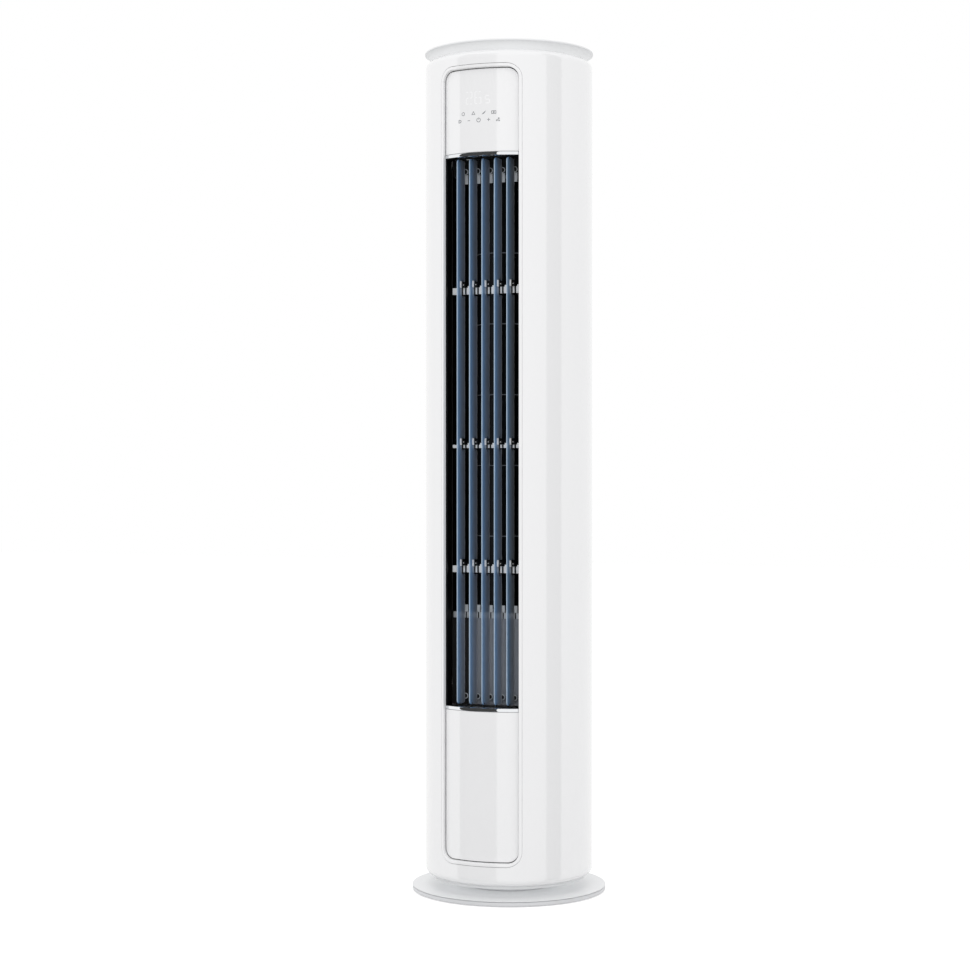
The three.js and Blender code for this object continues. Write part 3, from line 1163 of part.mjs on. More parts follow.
function addRear() {
  const seam = THREE.MathUtils.radToDeg(GRILLE_GAP / COLUMN_RADIUS);
  const from = SEAM_ANGLE + seam;
  const to = 360 - SEAM_ANGLE - seam;
  const wall = sector(ring(casingInner, COLUMN_RADIUS, grilleBottom, grilleTop), from, to);
  // The columns of slots keep clear of the wall's ends.
  const turn = 360 / FACETS / SLOTS_PER_FACET;
  const columns = Math.round((to - from) / turn) - 2;
  const rowPitch = (grilleTop - grilleBottom - GRILLE_RIB) / GRILLE_ROWS;
  const slots = [];
  for (let column = 0; column < columns; column++) {
    const angle = 180 + (column - (columns - 1) / 2) * turn;
    for (let row = 0; row < GRILLE_ROWS; row++) {
      const bottom = grilleBottom + GRILLE_RIB + row * rowPitch;
      slots.push(block(-SLOT_WIDTH / 2, SLOT_WIDTH / 2, -COLUMN_RADIUS - 5, -casingInner + 5, bottom,
        bottom + rowPitch - GRILLE_RIB).rotate([0, 0, angle]));
    }
  }
  const hooks = [-1, 1].map((side) => {
    const middle = 180 + side * HOOK_ANGLE;
    const hook = ring(filterOuter - HOOK_DEPTH, casingInner + HOOK_BITE, grilleBottom - HOOK_DROP,
      grilleBottom + HOOK_RISE)
      .subtract(ring(filterOuter - HOOK_BITE, 2 * COLUMN_RADIUS, 0, grilleBottom + 1));
    return sector(hook, middle - HOOK_HALF_TURN, middle + HOOK_HALF_TURN);
  });
  addPiece('rear_grille', wall.subtract(join(slots)).add(join(hooks)), 'glossWhite');

  // The filter: a thin curved mesh in a frame with a cross bar and a middle post, clipped inside the grille.
  const low = grilleBottom + FILTER_RISE;
  const high = grilleTop - FILTER_DROP;
  const filterInner = filterOuter - FILTER_FRAME_DEPTH;
  const meshMiddle = filterOuter - FILTER_FRAME_DEPTH / 2;
  const half = FILTER_MESH_THICKNESS / 2;
  const margin = THREE.MathUtils.radToDeg(FILTER_MARGIN / COLUMN_RADIUS);
  const frameTurn = THREE.MathUtils.radToDeg(FILTER_FRAME_WIDTH / COLUMN_RADIUS);
  const cellTurn = (to - from - 2 * margin - frameTurn) / 2;
  const cellRise = (high - low - FILTER_FRAME_WIDTH) / GRILLE_ROWS;
  const pocket = (inner, outer, column, row) => {
    const start = from + margin + column * cellTurn + frameTurn;
    const bottom = low + row * cellRise + FILTER_FRAME_WIDTH;
    const cell = ring(inner, outer, bottom, bottom + cellRise - FILTER_FRAME_WIDTH, FACETS / 2);
    return sector(cell, start, start + cellTurn - frameTurn);
  };
  const pockets = [0, 1].flatMap((column) => Array.from({ length: GRILLE_ROWS }, (_, row) => [
    pocket(coilInnerRadius, meshMiddle - half, column, row),
    pocket(meshMiddle + half, 2 * COLUMN_RADIUS, column, row),
  ])).flat();
  const sheet = ring(filterInner, filterOuter, low, high, FACETS / 2);
  addPiece('air_filter', sector(sheet, from + margin, to - margin).subtract(join(pockets)), 'lightGrey');

  const at = polar(COLUMN_RADIUS, GLAND_ANGLE);
  const gland = join(
    glandPin(GLAND_RADIUS, -GLAND_DEPTH, GLAND_HEIGHT - 1),
    glandPin(GLAND_RADIUS + GLAND_FLANGE, 2 * GAP, GLAND_HEIGHT),
  ).subtract(glandPin(GLAND_RADIUS - GLAND_WALL, -GLAND_DEPTH - 1, GLAND_HEIGHT + 1));
  addPiece('cord_gland', gland, 'rubber').position.set(at.x, at.y, GLAND_LEVEL);
}

// ---------------------------------------------------------------------------
// Control box
// ---------------------------------------------------------------------------

function addControlBox() {
  const bottom = chassisFloor + GAP;
  const top = bottom + BOX_HEIGHT;
  const back = -boxFront + BOX_DEPTH;
  const shell = block(-BOX_HALF_WIDTH, BOX_HALF_WIDTH, -boxFront, back, bottom, top)
    .subtract(block(-BOX_HALF_WIDTH + BOX_WALL, BOX_HALF_WIDTH - BOX_WALL, -boxFront - 1, back - BOX_WALL,
      bottom + BOX_WALL, top - BOX_WALL));
  const standoffs = [-1, 1].flatMap((side) => [STANDOFF_RISE, BOX_HEIGHT - STANDOFF_DROP].map((rise) => (
    frontPin(side * STANDOFF_SPREAD, bottom + rise, STANDOFF_RADIUS, back - STANDOFF_LENGTH, back - 1, 8)
  )));
  addPiece('control_box', shell.add(join(standoffs)), 'galvanised');
  addPiece('control_box_cover', block(-BOX_HALF_WIDTH, BOX_HALF_WIDTH, -boxFront - GAP - BOX_WALL,
    -boxFront - GAP, bottom, top), 'galvanised');

  const boardBack = back - STANDOFF_LENGTH - GAP;
  const boardFront = boardBack - BOARD_THICKNESS;
  // Parts on the board stand at shares of its width and height.
  const half = BOX_HALF_WIDTH - BOARD_MARGIN;
  const low = bottom + TERMINAL_LEVEL + TERMINAL_HEIGHT + BOARD_MARGIN;
  const rise = top - low - 3 * BOARD_MARGIN;
  const onBoard = (x0, x1, z0, z1, depth) => block(x0 * half, x1 * half, boardFront - depth,
    boardFront + BOARD_THICKNESS / 2, low + z0 * rise, low + z1 * rise);
  const board = join(
    block(-half, half, boardFront, boardBack, low, low + rise),
    [-0.48, 0].map((x) => frontPin(x * half, low + 0.22 * rise, CAPACITOR_RADIUS,
      boardFront - CAPACITOR_HEIGHT, boardFront + BOARD_THICKNESS / 2, 16)),
    onBoard(0.32, 0.8, 0.14, 0.31, RELAY_HEIGHT),
    onBoard(-0.77, 0.16, 0.44, 0.61, CHIP_HEIGHT),
    onBoard(0.4, 0.84, 0.48, 0.78, FILTER_COIL_HEIGHT),
  );
  addPiece('main_board', board, 'boardGreen');

  const terminalBack = back - BOX_WALL - GAP;
  const terminalLow = bottom + TERMINAL_LEVEL;
  const terminalHigh = terminalLow + TERMINAL_HEIGHT;
  const terminals = block(-TERMINAL_HALF_WIDTH, TERMINAL_HALF_WIDTH, terminalBack - TERMINAL_DEPTH,
    terminalBack, terminalLow, terminalHigh);
  // A wall a third of a pitch thick stands at each end of the row and between its pockets.
  const pitch = (2 * TERMINAL_HALF_WIDTH) / (TERMINAL_COUNT + 1 / 3);
  const pockets = Array.from({ length: TERMINAL_COUNT }, (_, i) => {
    const x = (i - (TERMINAL_COUNT - 1) / 2) * pitch;
    return block(x - pitch / 3, x + pitch / 3, terminalBack - 2 * TERMINAL_DEPTH,
      terminalBack - TERMINAL_DEPTH / 2, terminalLow + TERMINAL_WALL, terminalHigh - TERMINAL_WALL);
  });
  addPiece('terminal_block', terminals.subtract(join(pockets)), 'blackPlastic');
}

addBase();
addCasing();
addWindow();
addDuct();
addLouvers();
addFan();
addHousing();
addUprights();
addHeatExchanger();
addPipes();
addRear();
addControlBox();

export default airConditioner;
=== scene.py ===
"""Floor standing air conditioner: a slim round column on a disc base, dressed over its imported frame.

Metres, in the frame's own axes: +Z up, the air outlet faces -Y, origin at the centre of the underside.
Angles round the column are measured from the front and grow towards +X.
"""

import logging
import math
from dataclasses import dataclass
from enum import Enum

import bpy
import numpy as np
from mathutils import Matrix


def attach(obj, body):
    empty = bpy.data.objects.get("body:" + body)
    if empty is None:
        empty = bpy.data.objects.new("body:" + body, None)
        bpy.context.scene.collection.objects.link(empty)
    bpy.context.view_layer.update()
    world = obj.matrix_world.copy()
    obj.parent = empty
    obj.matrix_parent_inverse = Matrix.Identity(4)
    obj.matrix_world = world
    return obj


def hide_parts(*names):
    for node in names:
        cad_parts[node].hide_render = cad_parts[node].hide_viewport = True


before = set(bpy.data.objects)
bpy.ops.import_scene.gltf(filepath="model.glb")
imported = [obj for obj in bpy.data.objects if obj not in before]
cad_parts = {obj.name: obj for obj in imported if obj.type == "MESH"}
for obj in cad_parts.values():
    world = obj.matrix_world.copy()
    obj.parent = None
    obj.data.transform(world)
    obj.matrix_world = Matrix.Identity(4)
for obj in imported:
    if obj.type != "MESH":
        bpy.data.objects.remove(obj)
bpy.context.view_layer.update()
log = logging.getLogger("air_conditioner")

WHITE = "ffffff"
RIM_STEPS = 200  # faces round the widest discs
SHARP_ANGLE = math.radians(32)  # edges sharper than this stay crisp
BEVEL_ANGLE = math.radians(40)  # edges sharper than this are rounded, where a piece has a bevel
SEAM_GAP = 0.0003  # half the seam between casing covers, and the gap between seated pieces
GRILLE_GAP = 0.001  # play round the tilting grille


# ---------------------------------------------------------------------------
# Named options
# ---------------------------------------------------------------------------


class Body(Enum):
    """The moving bodies of the frame."""

    CASING = "casing"
    FAN = "fan"
    LINKAGE = "linkage"
    INTAKE_DOOR = "intake_door"


class Slot(Enum):
    """The record's material slots that the pieces take."""

    GLOSS_WHITE = "gloss_white"
    SATIN_WHITE = "satin_white"
    CHROME_TRIM = "chrome_trim"
    SMOKY_BLUE = "smoky_blue_plastic"
    BLACK = "black_plastic"
    FAN = "fan_plastic"
    GREY = "grey_plastic"
    LIGHT_GREY = "light_grey_plastic"
    GALVANISED = "galvanised_steel"
    FINS = "aluminium_fins"


# ---------------------------------------------------------------------------
# Finishes
# ---------------------------------------------------------------------------


def linear(code: str) -> tuple[float, float, float, float]:
    """Turns an sRGB hex colour such as "f1f2f2" to linear light.

    Args:
        code: six hex digits.

    Returns:
        Red, green, blue, and 1 for the fourth channel.
    """
    parts = [int(code[i:i + 2], 16) / 255 for i in (0, 2, 4)]
    red, green, blue = [c / 12.92 if c <= 0.04045 else ((c + 0.055) / 1.055) ** 2.4 for c in parts]
    return red, green, blue, 1.0


def add_node(tree: bpy.types.NodeTree, kind: str, sockets: dict | None = None, **settings) -> bpy.types.Node:
    """Adds a node with its settings and links.

    Args:
        tree: the material's node tree.
        kind: the node's type, without the ShaderNode prefix.
        sockets: input name or number to a value, or to the output socket that feeds it.
        settings: the node's own properties.

    Returns:
        The new node.
    """
    node = tree.nodes.new(f"ShaderNode{kind}")
    for name, value in settings.items():
        setattr(node, name, value)
    for name, value in (sockets or {}).items():
        if isinstance(value, bpy.types.NodeSocket):
            tree.links.new(value, node.inputs[name])
        else:
            node.inputs[name].default_value = value
    return node


def bare_material(name: str) -> tuple[bpy.types.Material, bpy.types.NodeTree]:
    """Makes a material with no nodes.

    Args:
        name: its name.

    Returns:
        The material and its empty node tree.
    """
    material = bpy.data.materials.new(name)
    material.use_nodes = True
    material.node_tree.nodes.clear()
    return material, material.node_tree


@dataclass(frozen=True)
class Finish:
    """A real material's look: a base shader and the fine relief that its making leaves."""

    name: str
    colour: str
    roughness: float
    metallic: float = 0.0
    ior: float = 1.5
    coat: float = 0.0
    coat_ior: float = 1.5
    coat_roughness: float = 0.03
    grain_mm: float = 1.0
    relief_mm: float = 0.01
    patchiness: float = 0.04

    def material(self) -> bpy.types.Material:
        """Returns the material, made once."""
        known = bpy.data.materials.get(self.name)
        if known:
            return known
        material, tree = bare_material(self.name)
        shader = add_node(tree, "BsdfPrincipled", {
            "Base Color": linear(self.colour),
            "Roughness": self.roughness,
            "Metallic": self.metallic,
            "Coat Weight": self.coat,
            "Coat IOR": self.coat_ior,
            "Coat Roughness": self.coat_roughness,
        })
        if not self.metallic:
            shader.inputs["IOR"].default_value = self.ior
        place = add_node(tree, "TexCoord").outputs["Object"]
        self.detail(tree, shader, place)
        add_node(tree, "OutputMaterial", {"Surface": shader.outputs["BSDF"]})
        return material

    def detail(self, tree: bpy.types.NodeTree, shader: bpy.types.Node, place: bpy.types.NodeSocket) -> None:
        """Adds moulded grain as relief, and slow patches of slightly different gloss.

        Args:
            tree: the material's node tree.
            shader: its shader.
            place: the object coordinates.
        """
        grain = add_node(tree, "TexNoise", {"Vector": place, "Scale": 1000 / self.grain_mm, "Detail": 2.0})
        self.bump(tree, shader, grain.outputs["Fac"], self.relief_mm)
        self.vary_gloss(tree, shader, place, size_mm=90.0)

    def bump(self, tree: bpy.types.NodeTree, shader: bpy.types.Node, height: bpy.types.NodeSocket,
             depth_mm: float) -> None:
        """Feeds a height pattern into the shader's normal, with its depth in millimetres."""
        relief = add_node(tree, "Bump", {"Height": height, "Distance": depth_mm / 1000, "Strength": 1.0})
        tree.links.new(relief.outputs["Normal"], shader.inputs["Normal"])

    def vary_gloss(self, tree: bpy.types.NodeTree, shader: bpy.types.Node, place: bpy.types.NodeSocket,
                   size_mm: float) -> None:
        """Lets the roughness drift up and down by the patchiness.

        Args:
            tree: the material's node tree.
            shader: its shader.
            place: the object coordinates.
            size_mm: how wide the patches are.
        """
        patch = add_node(tree, "TexNoise", {"Vector": place, "Scale": 1000 / size_mm, "Detail": 3.0})
        spread = add_node(tree, "MapRange", {
            "Value": patch.outputs["Fac"],
            "To Min": self.roughness * (1 - self.patchiness),
            "To Max": self.roughness * (1 + self.patchiness),
        })
        tree.links.new(spread.outputs["Result"], shader.inputs["Roughness"])

    def tint(self, tree: bpy.types.NodeTree, shader: bpy.types.Node, mask: bpy.types.NodeSocket,
             other: str) -> None:
        """Mixes the base colour with another one where a mask is bright.

        Args:
            tree: the material's node tree.
            shader: its shader.
            mask: 0 for the base colour, 1 for the other.
            other: the other colour.
        """
        colours = {0: mask, 6: linear(self.colour), 7: linear(other)}
        mix = add_node(tree, "Mix", colours, data_type="RGBA")
        tree.links.new(mix.outputs[2], shader.inputs["Base Color"])


@dataclass(frozen=True)
class SheetZinc(Finish):
    """Hot-dip galvanised sheet: crystals of a few millimetres, each a slightly different grey."""

    def detail(self, tree: bpy.types.NodeTree, shader: bpy.types.Node, place: bpy.types.NodeSocket) -> None:
        """Adds the spangle as cells of tint and gloss.

        Args:
            tree: the material's node tree.
            shader: its shader.
            place: the object coordinates.
        """
        cells = add_node(tree, "TexVoronoi", {"Vector": place, "Scale": 1000 / self.grain_mm})
        shade = add_node(tree, "SeparateColor", {"Color": cells.outputs["Color"]})
        self.tint(tree, shader, shade.outputs[0], "a2a8ab")
        gloss = add_node(tree, "MapRange", {"Value": shade.outputs[1], "To Min": 0.3, "To Max": 0.5})
        tree.links.new(gloss.outputs["Result"], shader.inputs["Roughness"])


@dataclass(frozen=True)
class TurnedMetal(Finish):
    """Turned or drawn metal: fine rings or lines across the long axis."""

    def detail(self, tree: bpy.types.NodeTree, shader: bpy.types.Node, place: bpy.types.NodeSocket) -> None:
        """Adds lines by stretching noise sixty times along x and y.

        Args:
            tree: the material's node tree.
            shader: its shader.
            place: the object coordinates.
        """
        stretch = add_node(tree, "Mapping", {"Vector": place, "Scale": (1 / 60, 1 / 60, 1.0)})
        lines = add_node(tree, "TexNoise", {
            "Vector": stretch.outputs["Vector"], "Scale": 1000 / self.grain_mm, "Detail": 3.0,
        })
        self.bump(tree, shader, lines.outputs["Fac"], self.relief_mm)
        self.vary_gloss(tree, shader, place, size_mm=25.0)


@dataclass(frozen=True)
class FinStack(Finish):
    """Stamped aluminium fins stood on edge: 1.6 mm apart in the real coil, drawn 3 mm apart so that they show."""

    def detail(self, tree: bpy.types.NodeTree, shader: bpy.types.Node, place: bpy.types.NodeSocket) -> None:
        """Adds level stripes, with painted shade darkening the gaps between the fins.

        Args:
            tree: the material's node tree.
            shader: its shader.
            place: the object coordinates.
        """
        stripes = add_node(tree, "TexWave", {
            "Vector": place, "Scale": 2 * math.pi / (20 * self.grain_mm / 1000),
        }, bands_direction="Z")
        gap = add_node(tree, "MapRange", {"Value": stripes.outputs["Fac"], "From Min": 0.1, "From Max": 0.6})
        dark = add_node(tree, "Math", {0: 1.0, 1: gap.outputs["Result"]}, operation="SUBTRACT")
        # painted shade: the gaps between the fins are tinted dark grey
        self.tint(tree, shader, dark.outputs["Value"], "3a3d40")
        self.bump(tree, shader, gap.outputs["Result"], self.relief_mm)


@dataclass(frozen=True)
class WovenMesh(Finish):
    """Woven nylon filter mesh: threads 1 mm apart in the real one, drawn 2 mm apart so that they show."""

    def detail(self, tree: bpy.types.NodeTree, shader: bpy.types.Node, place: bpy.types.NodeSocket) -> None:
        """Adds the threads as two crossed sets of stripes, with painted shade darkening the holes between them.

        Args:
            tree: the material's node tree.
            shader: its shader.
            place: the object coordinates.
        """
        pitch = 2 * math.pi / (20 * self.grain_mm / 1000)
        level = add_node(tree, "TexWave", {"Vector": place, "Scale": pitch}, bands_direction="Z")
        upright = add_node(tree, "TexWave", {"Vector": place, "Scale": pitch}, bands_direction="X")
        thread = add_node(tree, "Math", {0: level.outputs["Fac"], 1: upright.outputs["Fac"]},
                          operation="MAXIMUM")
        hole = add_node(tree, "MapRange", {
            "Value": thread.outputs["Value"], "From Min": 0.35, "From Max": 0.7, "To Min": 1.0, "To Max": 0.0,
        })
        # painted shade: the holes between the threads are tinted near black
        self.tint(tree, shader, hole.outputs["Result"], "16181a")
        self.bump(tree, shader, thread.outputs["Value"], self.relief_mm)


@dataclass(frozen=True)
class BoardMask(Finish):
    """Green solder mask over copper tracks that show as paler lines."""

    def detail(self, tree: bpy.types.NodeTree, shader: bpy.types.Node, place: bpy.types.NodeSocket) -> None:
        """Adds square-cornered tracks from the edges of stretched cells.

        Args:
            tree: the material's node tree.
            shader: its shader.
            place: the object coordinates.
        """
        cells = add_node(tree, "TexVoronoi", {"Vector": place, "Scale": 1000 / self.grain_mm},
                         distance="CHEBYCHEV", feature="F1")
        track = add_node(tree, "MapRange", {"Value": cells.outputs["Distance"], "From Min": 0.42, "From Max": 0.5})
        self.tint(tree, shader, track.outputs["Result"], "3f8f63")


@dataclass(frozen=True)
class SmokedPlastic(Finish):
    """Tinted plastic, polished: a little light passes through the blade, which is greyer towards its tail; its nose
    edge and the last strip of its tail are painted paler as highlights.
    """

    transmission: float = 0.12
    nose_y: float = -0.1501
    tail_y: float = -0.1100
    # painted highlights: the pale stops at the nose (0 to 0.03) and at the tail's last strip (0.93 to 1)
    tints_and_highlights: tuple[tuple[float, str], ...] = ((0.0, "b4c9de"), (0.03, "a9c2d9"), (0.06, "82a8d2"), (0.22, "7da1c9"),
                                            (0.62, "98a5b6"), (0.88, "9ea8b6"), (0.93, "d2d6dc"), (1.0, "d2d6dc"))

    def detail(self, tree: bpy.types.NodeTree, shader: bpy.types.Node, place: bpy.types.NodeSocket) -> None:
        """Adds the colour along the blade, with painted highlights on the nose edge and the tail's last strip, and the
        slow waves that a polished moulding keeps.

        Args:
            tree: the material's node tree.
            shader: its shader.
            place: the object coordinates.
        """
        shader.inputs["Transmission Weight"].default_value = self.transmission
        depth = add_node(tree, "SeparateXYZ", {"Vector": place})
        run = add_node(tree, "MapRange", {
            "Value": depth.outputs["Y"], "From Min": self.nose_y, "From Max": self.tail_y,
        })
        ramp = add_node(tree, "ValToRGB", {"Fac": run.outputs["Result"]})
        stops = ramp.color_ramp.elements
        for at, _ in self.tints_and_highlights[1:-1]:
            stops.new(at)
        for stop, (at, tint) in zip(stops, self.tints_and_highlights):
            stop.position, stop.color = at, linear(tint)
        tree.links.new(ramp.outputs["Color"], shader.inputs["Base Color"])
        waves = add_node(tree, "TexNoise", {"Vector": place, "Scale": 1000 / self.grain_mm, "Detail": 1.0})
        self.bump(tree, shader, waves.outputs["Fac"], self.relief_mm)
        self.vary_gloss(tree, shader, place, size_mm=60.0)


@dataclass(frozen=True)
class LitPrint(Finish):
    """Display segments under the skin: they glow faintly through the white."""

    glow: float = 0.25

    def detail(self, tree: bpy.types.NodeTree, shader: bpy.types.Node, place: bpy.types.NodeSocket) -> None:
        """Adds an even glow and the panel's own fine gloss drift.

        Args:
            tree: the material's node tree.
            shader: its shader.
            place: the object coordinates.
        """
        shader.inputs["Emission Color"].default_value = linear(WHITE)
        shader.inputs["Emission Strength"].default_value = self.glow
        self.vary_gloss(tree, shader, place, size_mm=5.0)


# Injection-moulded ABS with a polished, lacquered skin: mirror-like at a slant, a trace of orange peel.
GLOSS_ABS = Finish("lacquered_white_abs", "f3f3f4", 0.12, ior=1.45, coat=1.0, coat_ior=1.5, grain_mm=14,
                   relief_mm=0.004, patchiness=0.1)
# Fine spark-eroded ABS: soft, slightly grainy white with a broad sheen.
SATIN_ABS = Finish("satin_white_abs", "dcdddf", 0.42, ior=1.5, coat=0.15, coat_roughness=0.2, grain_mm=0.9,
                   relief_mm=0.012)
# The ABS of the cap and of the base's skin, a little whiter.
WHITE_ABS = Finish("white_moulded_abs", "eff0f1", 0.38, ior=1.45, coat=0.1, coat_roughness=0.2, grain_mm=0.9,
                   relief_mm=0.01)
# Nickel and chrome plate on ABS: mirror bright, a little cold.
CHROME_PLATE = Finish("bright_chrome_plate", "eef0f2", 0.05, metallic=1.0, grain_mm=20, relief_mm=0.002)
# Smoked, polished polycarbonate: deep blue-grey, with highlights painted paler on its nose and tail edges beside the
# real gloss of its coat.
SMOKED_BLADE = SmokedPlastic("smoked_blue_polycarbonate", "7c9dbf", 0.16, ior=1.58, coat=0.4, grain_mm=25,
                             relief_mm=0.01)
# Textured black polypropylene: swallows the light inside the duct.
BLACK_PP = Finish("textured_black_polypropylene", "0c0c0d", 0.5, grain_mm=0.8, relief_mm=0.03)
# Glass-filled nylon of the fan: dark grey, fibres give it a dull sheen.
FAN_NYLON = Finish("glass_filled_nylon", "121417", 0.45, ior=1.35, grain_mm=2.5, relief_mm=0.02,
                   patchiness=0.15)
# The same nylon in a paler grey, for the rings between the wheel's segments.
RING_NYLON = Finish("pale_ring_nylon", "70747a", 0.4, ior=1.4, grain_mm=2.5, relief_mm=0.01)
# Mid grey ABS of the motor cover.
GREY_ABS = Finish("moulded_grey_abs", "8b8f96", 0.45, grain_mm=0.9, relief_mm=0.02)
# Acetal of the rim, tabs, boss rings, coupler and filter frame: pale grey, waxy.
GREY_ACETAL = Finish("pale_grey_acetal", "cfd3d6", 0.34, ior=1.48, grain_mm=1.5, relief_mm=0.008)
# The same acetal left unpigmented, for the link bars and clips: milky white.
CLIP_ACETAL = Finish("natural_white_acetal", "f0f2f3", 0.3, ior=1.48, grain_mm=1.5, relief_mm=0.008)
# White powder coat on the pressed foot tray: satin, with the slight pebble of the baked powder.
POWDER_WHITE = Finish("white_powder_coat", "e6e7e8", 0.45, grain_mm=1.4, relief_mm=0.03)
GALVANISED = SheetZinc("galvanised_steel_sheet", "b9bec1", 0.4, metallic=1.0, grain_mm=7)
STEEL = TurnedMetal("turned_steel", "a9acb0", 0.28, metallic=1.0, grain_mm=0.8, relief_mm=0.01, patchiness=0.2)
FIN_ALUMINIUM = FinStack("stamped_aluminium_fins", "c9cdd0", 0.35, metallic=1.0, grain_mm=3.0, relief_mm=0.4)
COPPER = TurnedMetal("drawn_copper_tube", "c5825c", 0.3, metallic=1.0, grain_mm=1.5, relief_mm=0.01,
                     patchiness=0.3)
BRASS = TurnedMetal("machined_brass", "c8a45a", 0.26, metallic=1.0, grain_mm=0.6, relief_mm=0.02,
                    patchiness=0.2)
RUBBER = Finish("moulded_black_rubber", "1b1b1c", 0.8, ior=1.52, grain_mm=0.7, relief_mm=0.04)
MESH_NYLON = WovenMesh("woven_nylon_mesh", "8d9296", 0.6, grain_mm=2.0, relief_mm=0.15)
BOARD = BoardMask("green_solder_mask", "1f5c3a", 0.35, grain_mm=9, relief_mm=0.02)
LIT_DIGIT = LitPrint("display_segment", "f6f6f7", 0.2, glow=0.03, grain_mm=2)
KEY_INK = Finish("printed_grey_ink", "8b8e91", 0.4, grain_mm=0.5, relief_mm=0.002)


# ---------------------------------------------------------------------------
# Surfaces
# ---------------------------------------------------------------------------


@dataclass
class Surface:
    """A closed surface: points in metres, and faces of four point numbers, which repeat in a triangle."""

    points: np.ndarray
    quads: np.ndarray

    def welded(self) -> "Surface":
        """Returns the surface with equal points made one and unused ones dropped."""
        _, first, number = np.unique(np.round(self.points, 7), axis=0, return_index=True, return_inverse=True)
        quads = number.reshape(-1)[self.quads]
        ring = np.concatenate([quads, quads[:, :1]], axis=1)
        corners = (ring[:, 1:] != ring[:, :-1]).sum(axis=1)
        quads = quads[(corners > 2) & (quads[:, 0] != quads[:, 2]) & (quads[:, 1] != quads[:, 3])]
        used, packed = np.unique(quads, return_inverse=True)
        return Surface(self.points[first][used], packed.reshape(-1, 4))

    def outward(self) -> "Surface":
        """Returns the surface with its faces pointing out, by the sign of the volume that it encloses."""
        a, b, c, d = (self.points[self.quads[:, i]] for i in range(4))
        volume = np.einsum("ij,ij->", a, np.cross(b, c)) + np.einsum("ij,ij->", a, np.cross(c, d))
        return self if volume > 0 else Surface(self.points, self.quads[:, ::-1])

    def repeated(self, turns: np.ndarray) -> "Surface":
        """Copies the surface round the upright axis through the origin.

        Args:
            turns: the angle of each copy, in radians.

        Returns:
            All the copies as one surface.
        """
        cos, sin = np.cos(turns)[:, None], np.sin(turns)[:, None]
        x, y, z = self.points.T
        points = np.stack([x * cos - y * sin, x * sin + y * cos, np.broadcast_to(z, (len(turns), len(z)))], axis=-1)
        shift = np.arange(len(turns))[:, None, None] * len(self.points)
        return Surface(points.reshape(-1, 3), (self.quads[None] + shift).reshape(-1, 4))

    def tipped(self) -> "Surface":
        """Returns the surface laid over from upright to face the front: (x, y, z) goes to (x, -z, y)."""
        return Surface(self.points[:, [0, 2, 1]] * np.array([1.0, -1.0, 1.0]), self.quads)

    def moved(self, x: float = 0.0, y: float = 0.0, z: float = 0.0) -> "Surface":
        """Returns the surface moved by an offset."""
        return Surface(self.points + np.array([x, y, z]), self.quads)


def joined(parts: list[Surface]) -> Surface:
    """Returns several surfaces as one."""
    starts = np.cumsum([0] + [len(part.points) for part in parts[:-1]])
    return Surface(
        np.concatenate([part.points for part in parts]),
        np.concatenate([part.quads + start for part, start in zip(parts, starts)]),
    )


def grid_quads(rows: int, columns: int, close_rows: bool = False, close_columns: bool = False) -> np.ndarray:
    """Numbers the faces of a grid of points, row by row.

    Args:
        rows: count of rows.
        columns: count of points in a row.
        close_rows: joins the last row to the first.
        close_columns: joins each row's end to its start.

    Returns:
        One row of four point numbers for each face.
    """
    row = np.arange(rows if close_rows else rows - 1)[:, None]
    column = np.arange(columns if close_columns else columns - 1)[None, :]
    next_row, next_column = (row + 1) % rows, (column + 1) % columns
    corners = [row * columns + column, row * columns + next_column,
               next_row * columns + next_column, next_row * columns + column]
    return np.stack(np.broadcast_arrays(*corners), axis=-1).reshape(-1, 4)


def lofted(loops: np.ndarray, close: bool = False) -> Surface:
    """Skins a row of closed loops, and caps both ends with a ladder of faces from side to side.

    Args:
        loops: array of loops, points and coordinates.
        close: joins the last loop to the first, with no caps.

    Returns:
        The closed surface.
    """
    count, size = loops.shape[:2]
    faces = [grid_quads(count, size, close_rows=close, close_columns=True)]
    if not close:
        i = np.arange(size // 2 - 1)
        ladder = np.stack([i, i + 1, size - 2 - i, size - 1 - i], axis=-1)
        faces += [ladder[:, ::-1], ladder + (count - 1) * size]
    return Surface(loops.reshape(-1, 3), np.concatenate(faces)).welded().outward()


def around(profile: np.ndarray, turns: np.ndarray, centre_y: float = 0.0) -> np.ndarray:
    """Carries a profile of radius and level round the column: x = r sin a, y = -r cos a.

    Args:
        profile: array of (radius, level).
        turns: angles from the front, in radians.
        centre_y: where the axis stands on y.

    Returns:
        Array of angles, profile points and coordinates.
    """
    radius, level = profile[None, :, 0], profile[None, :, 1]
    x = radius * np.sin(turns)[:, None]
    y = centre_y - radius * np.cos(turns)[:, None]
    return np.stack([x, y, np.broadcast_to(level, x.shape)], axis=-1)


def turned(profile: np.ndarray, centre_y: float = 0.0, steps: int = 144) -> Surface:
    """Returns a closed profile turned a full turn about an upright axis."""
    turns = np.linspace(0, 2 * np.pi, steps, endpoint=False)
    return lofted(around(profile, turns, centre_y), close=True)


def band(profile: np.ndarray, start: float, end: float, steps: int = 64) -> Surface:
    """Returns a closed profile carried from one angle to another, in degrees, with both ends capped."""
    return lofted(around(profile, np.radians(np.linspace(start, end, steps))))


